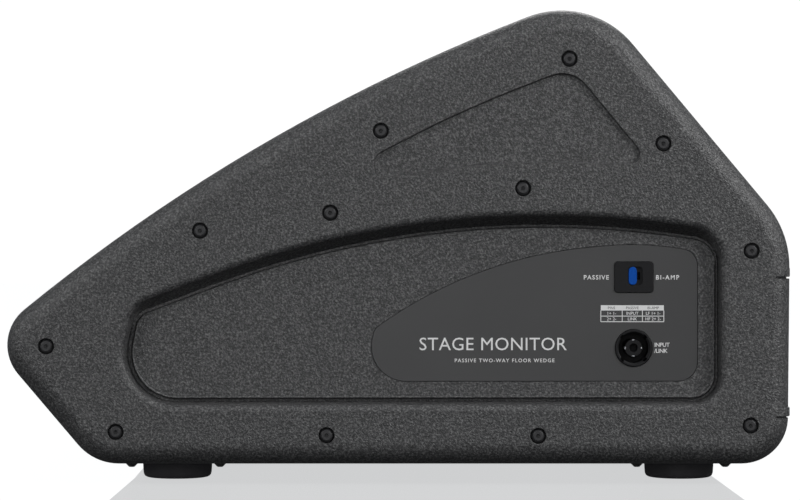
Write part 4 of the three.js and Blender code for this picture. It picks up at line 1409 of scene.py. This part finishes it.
def half_roll(inner, outer, low, thickness, radius):
    middle = (inner + outer) / 2
    above = [(inner, low), (inner, low + thickness)]
    for k in range(17):
        angle = math.pi - math.pi * k / 16
        above.append((middle + radius * math.cos(angle), low + thickness + radius * math.sin(angle)))
    above += [(outer, low + thickness), (outer, low)]
    for k in range(17):
        angle = math.pi * k / 16
        above.append((middle + (radius - 1.2) * math.cos(angle), low + (radius - 1.2) * math.sin(angle)))
    return above


def ripples(inner, outer, middle, thickness, waves, height):
    steps = waves * 8
    top = []
    for k in range(steps + 1):
        share = k / steps
        z = middle + height * math.sin(2 * math.pi * waves * share)
        top.append((inner + (outer - inner) * share, z))
    return [(r, z + thickness / 2) for r, z in top] + [(r, z - thickness / 2) for r, z in reversed(top)]


stretching_ring(
    "surround_half_roll", half_roll(120.4, 138.6, 0.9, 1.2, 7.0), RUBBER, "rubber_black",
    "woofer_surround",
)
stretching_ring(
    "spider_disc", ripples(27.4, 76, -59.75, 0.8, 6, 0.9), FOAM, "foam_black", "woofer_spider",
)


# ---- Finishes of the CAD nodes that stay ----

CAD_LOOKS = {
    PLYWOOD: ["baffle"],
    POWDER: ["woofer_basket"],
    STEEL: ["woofer_top_plate", "woofer_yoke"],
    FERRITE: ["woofer_magnet", "hf_driver_body"],
    COPPER: ["woofer_voice_coil", "woofer_inductor", "hf_inductor"],
    PAPER: ["woofer_cone", "woofer_dust_cap"],
    MOULDED: ["horn_flare", "hf_driver_cap", "lower_port", "upper_port", "crossover_tray"],
    CIRCUIT: ["crossover_board"],
    BLUE: ["woofer_capacitor", "hf_capacitor"],
    SHEATH: ["input_lead", "woofer_lead", "hf_lead"],
}
for material, names in CAD_LOOKS.items():
    for name in names:
        mesh = frame["nodes"][name].data
        mesh.materials.clear()
        mesh.materials.append(material)


# ---- Floor, lights and camera ----


FLOOR_MIRROR = 0.36
FLOOR_GLOW = 0.92


def pale_floor():
    """A wide white floor, polished enough to hold a faint reflection."""
    bm = bmesh.new()
    bmesh.ops.create_grid(bm, x_segments=2, y_segments=2, size=12)
    mesh = bpy.data.meshes.new("floor")
    bm.to_mesh(mesh)
    bm.free()
    floor = bpy.data.objects.new("floor", mesh)
    bpy.context.scene.collection.objects.link(floor)
    floor.location.z = -0.0003
    look = Look("pale_floor", (0.9, 0.9, 0.9, 1), 0.5)
    nodes, links = look.nodes, look.links
    diffuse = nodes.new("ShaderNodeBsdfDiffuse")
    diffuse.inputs["Color"].default_value = (0.9, 0.905, 0.91, 1)
    glow = nodes.new("ShaderNodeEmission")
    glow.inputs["Color"].default_value = (0.98, 0.99, 1, 1)
    glow.inputs["Strength"].default_value = 1.06
    mirror = nodes.new("ShaderNodeBsdfGlossy")
    mirror.inputs["Color"].default_value = (1, 1, 1, 1)
    mirror.inputs["Roughness"].default_value = 0
    pale = nodes.new("ShaderNodeMixShader")
    pale.inputs["Fac"].default_value = FLOOR_GLOW
    links.new(diffuse.outputs["BSDF"], pale.inputs[1])
    links.new(glow.outputs["Emission"], pale.inputs[2])
    mix = nodes.new("ShaderNodeMixShader")
    mix.inputs["Fac"].default_value = FLOOR_MIRROR
    links.new(pale.outputs["Shader"], mix.inputs[1])
    links.new(mirror.outputs["BSDF"], mix.inputs[2])
    links.new(mix.outputs["Shader"], nodes["Material Output"].inputs["Surface"])
    mesh.materials.append(look.material)
    floor.visible_diffuse = False
    floor.visible_glossy = False


def soft_world():
    """White where the camera or the polished floor sees it. Its light is dim, and dimmer from below."""
    world = bpy.data.worlds.new("studio")
    bpy.context.scene.world = world
    world.use_nodes = True
    nodes, links = world.node_tree.nodes, world.node_tree.links
    nodes.clear()
    dim = nodes.new("ShaderNodeBackground")
    dim.inputs["Color"].default_value = (0.94, 0.97, 1, 1)
    place = nodes.new("ShaderNodeTexCoord")
    split = nodes.new("ShaderNodeSeparateXYZ")
    height = nodes.new("ShaderNodeMapRange")
    for socket, value in zip(("From Min", "From Max", "To Min", "To Max"), (-0.35, 0.35, 0.05, 0.27)):
        height.inputs[socket].default_value = value
    links.new(place.outputs["Generated"], split.inputs["Vector"])
    links.new(split.outputs["Z"], height.inputs["Value"])
    links.new(height.outputs["Result"], dim.inputs["Strength"])
    white = nodes.new("ShaderNodeBackground")
    white.inputs["Color"].default_value = (1, 1, 1, 1)
    white.inputs["Strength"].default_value = 1.04
    path = nodes.new("ShaderNodeLightPath")
    seen = nodes.new("ShaderNodeMath")
    seen.operation = "MAXIMUM"
    mix = nodes.new("ShaderNodeMixShader")
    output = nodes.new("ShaderNodeOutputWorld")
    links.new(path.outputs["Is Camera Ray"], seen.inputs[0])
    links.new(path.outputs["Is Singular Ray"], seen.inputs[1])
    links.new(seen.outputs["Value"], mix.inputs["Fac"])
    links.new(dim.outputs["Background"], mix.inputs[1])
    links.new(white.outputs["Background"], mix.inputs[2])
    links.new(mix.outputs["Shader"], output.inputs["Surface"])


def softbox(name, place, target, width, height, power):
    light = bpy.data.lights.new(name, "AREA")
    light.shape = "RECTANGLE"
    light.size = width
    light.size_y = height
    light.energy = power
    made = bpy.data.objects.new(name, light)
    bpy.context.scene.collection.objects.link(made)
    made.location = place
    made.rotation_mode = "QUATERNION"
    made.rotation_quaternion = (Vector(target) - Vector(place)).to_track_quat("-Z", "Y")


CAMERA_AXIS = (0.33, 163.8)  # where the lens points, in the side view
CAMERA_DISTANCE = 2.0  # metres from the near cheek's face
VIEW_WIDTH = 0.576  # metres across the picture at that face


def long_lens_camera():
    data = bpy.data.cameras.new("camera")
    data.sensor_width = 36
    data.lens = data.sensor_width * CAMERA_DISTANCE / VIEW_WIDTH
    camera = bpy.data.objects.new("camera", data)
    bpy.context.scene.collection.objects.link(camera)
    x, z = [(place + shift) * MM for place, shift in zip(CAMERA_AXIS, SHIFT)]
    camera.location = (x, -HALF_WIDTH * MM - CAMERA_DISTANCE, z)
    camera.rotation_euler = (math.pi / 2, 0, 0)
    bpy.context.scene.camera = camera


pale_floor()
soft_world()
MIDDLE = (0, 0, 0.16)
softbox("right_box", (2.2, -1.5, 1.5), MIDDLE, 0.9, 0.9, 53)
softbox("left_box", (-2.1, -1.6, 1.3), MIDDLE, 0.6, 0.6, 23)
softbox("top_box", (0.2, -0.9, 3.0), MIDDLE, 1.6, 0.8, 10)
softbox("back_box", (0.4, 2.6, 2.2), MIDDLE, 1.8, 1.0, 30)
softbox("front_fill", (0, -3.0, 0.3), MIDDLE, 1.2, 0.7, 11)
long_lens_camera()
bpy.context.scene.view_settings.view_transform = "Standard"
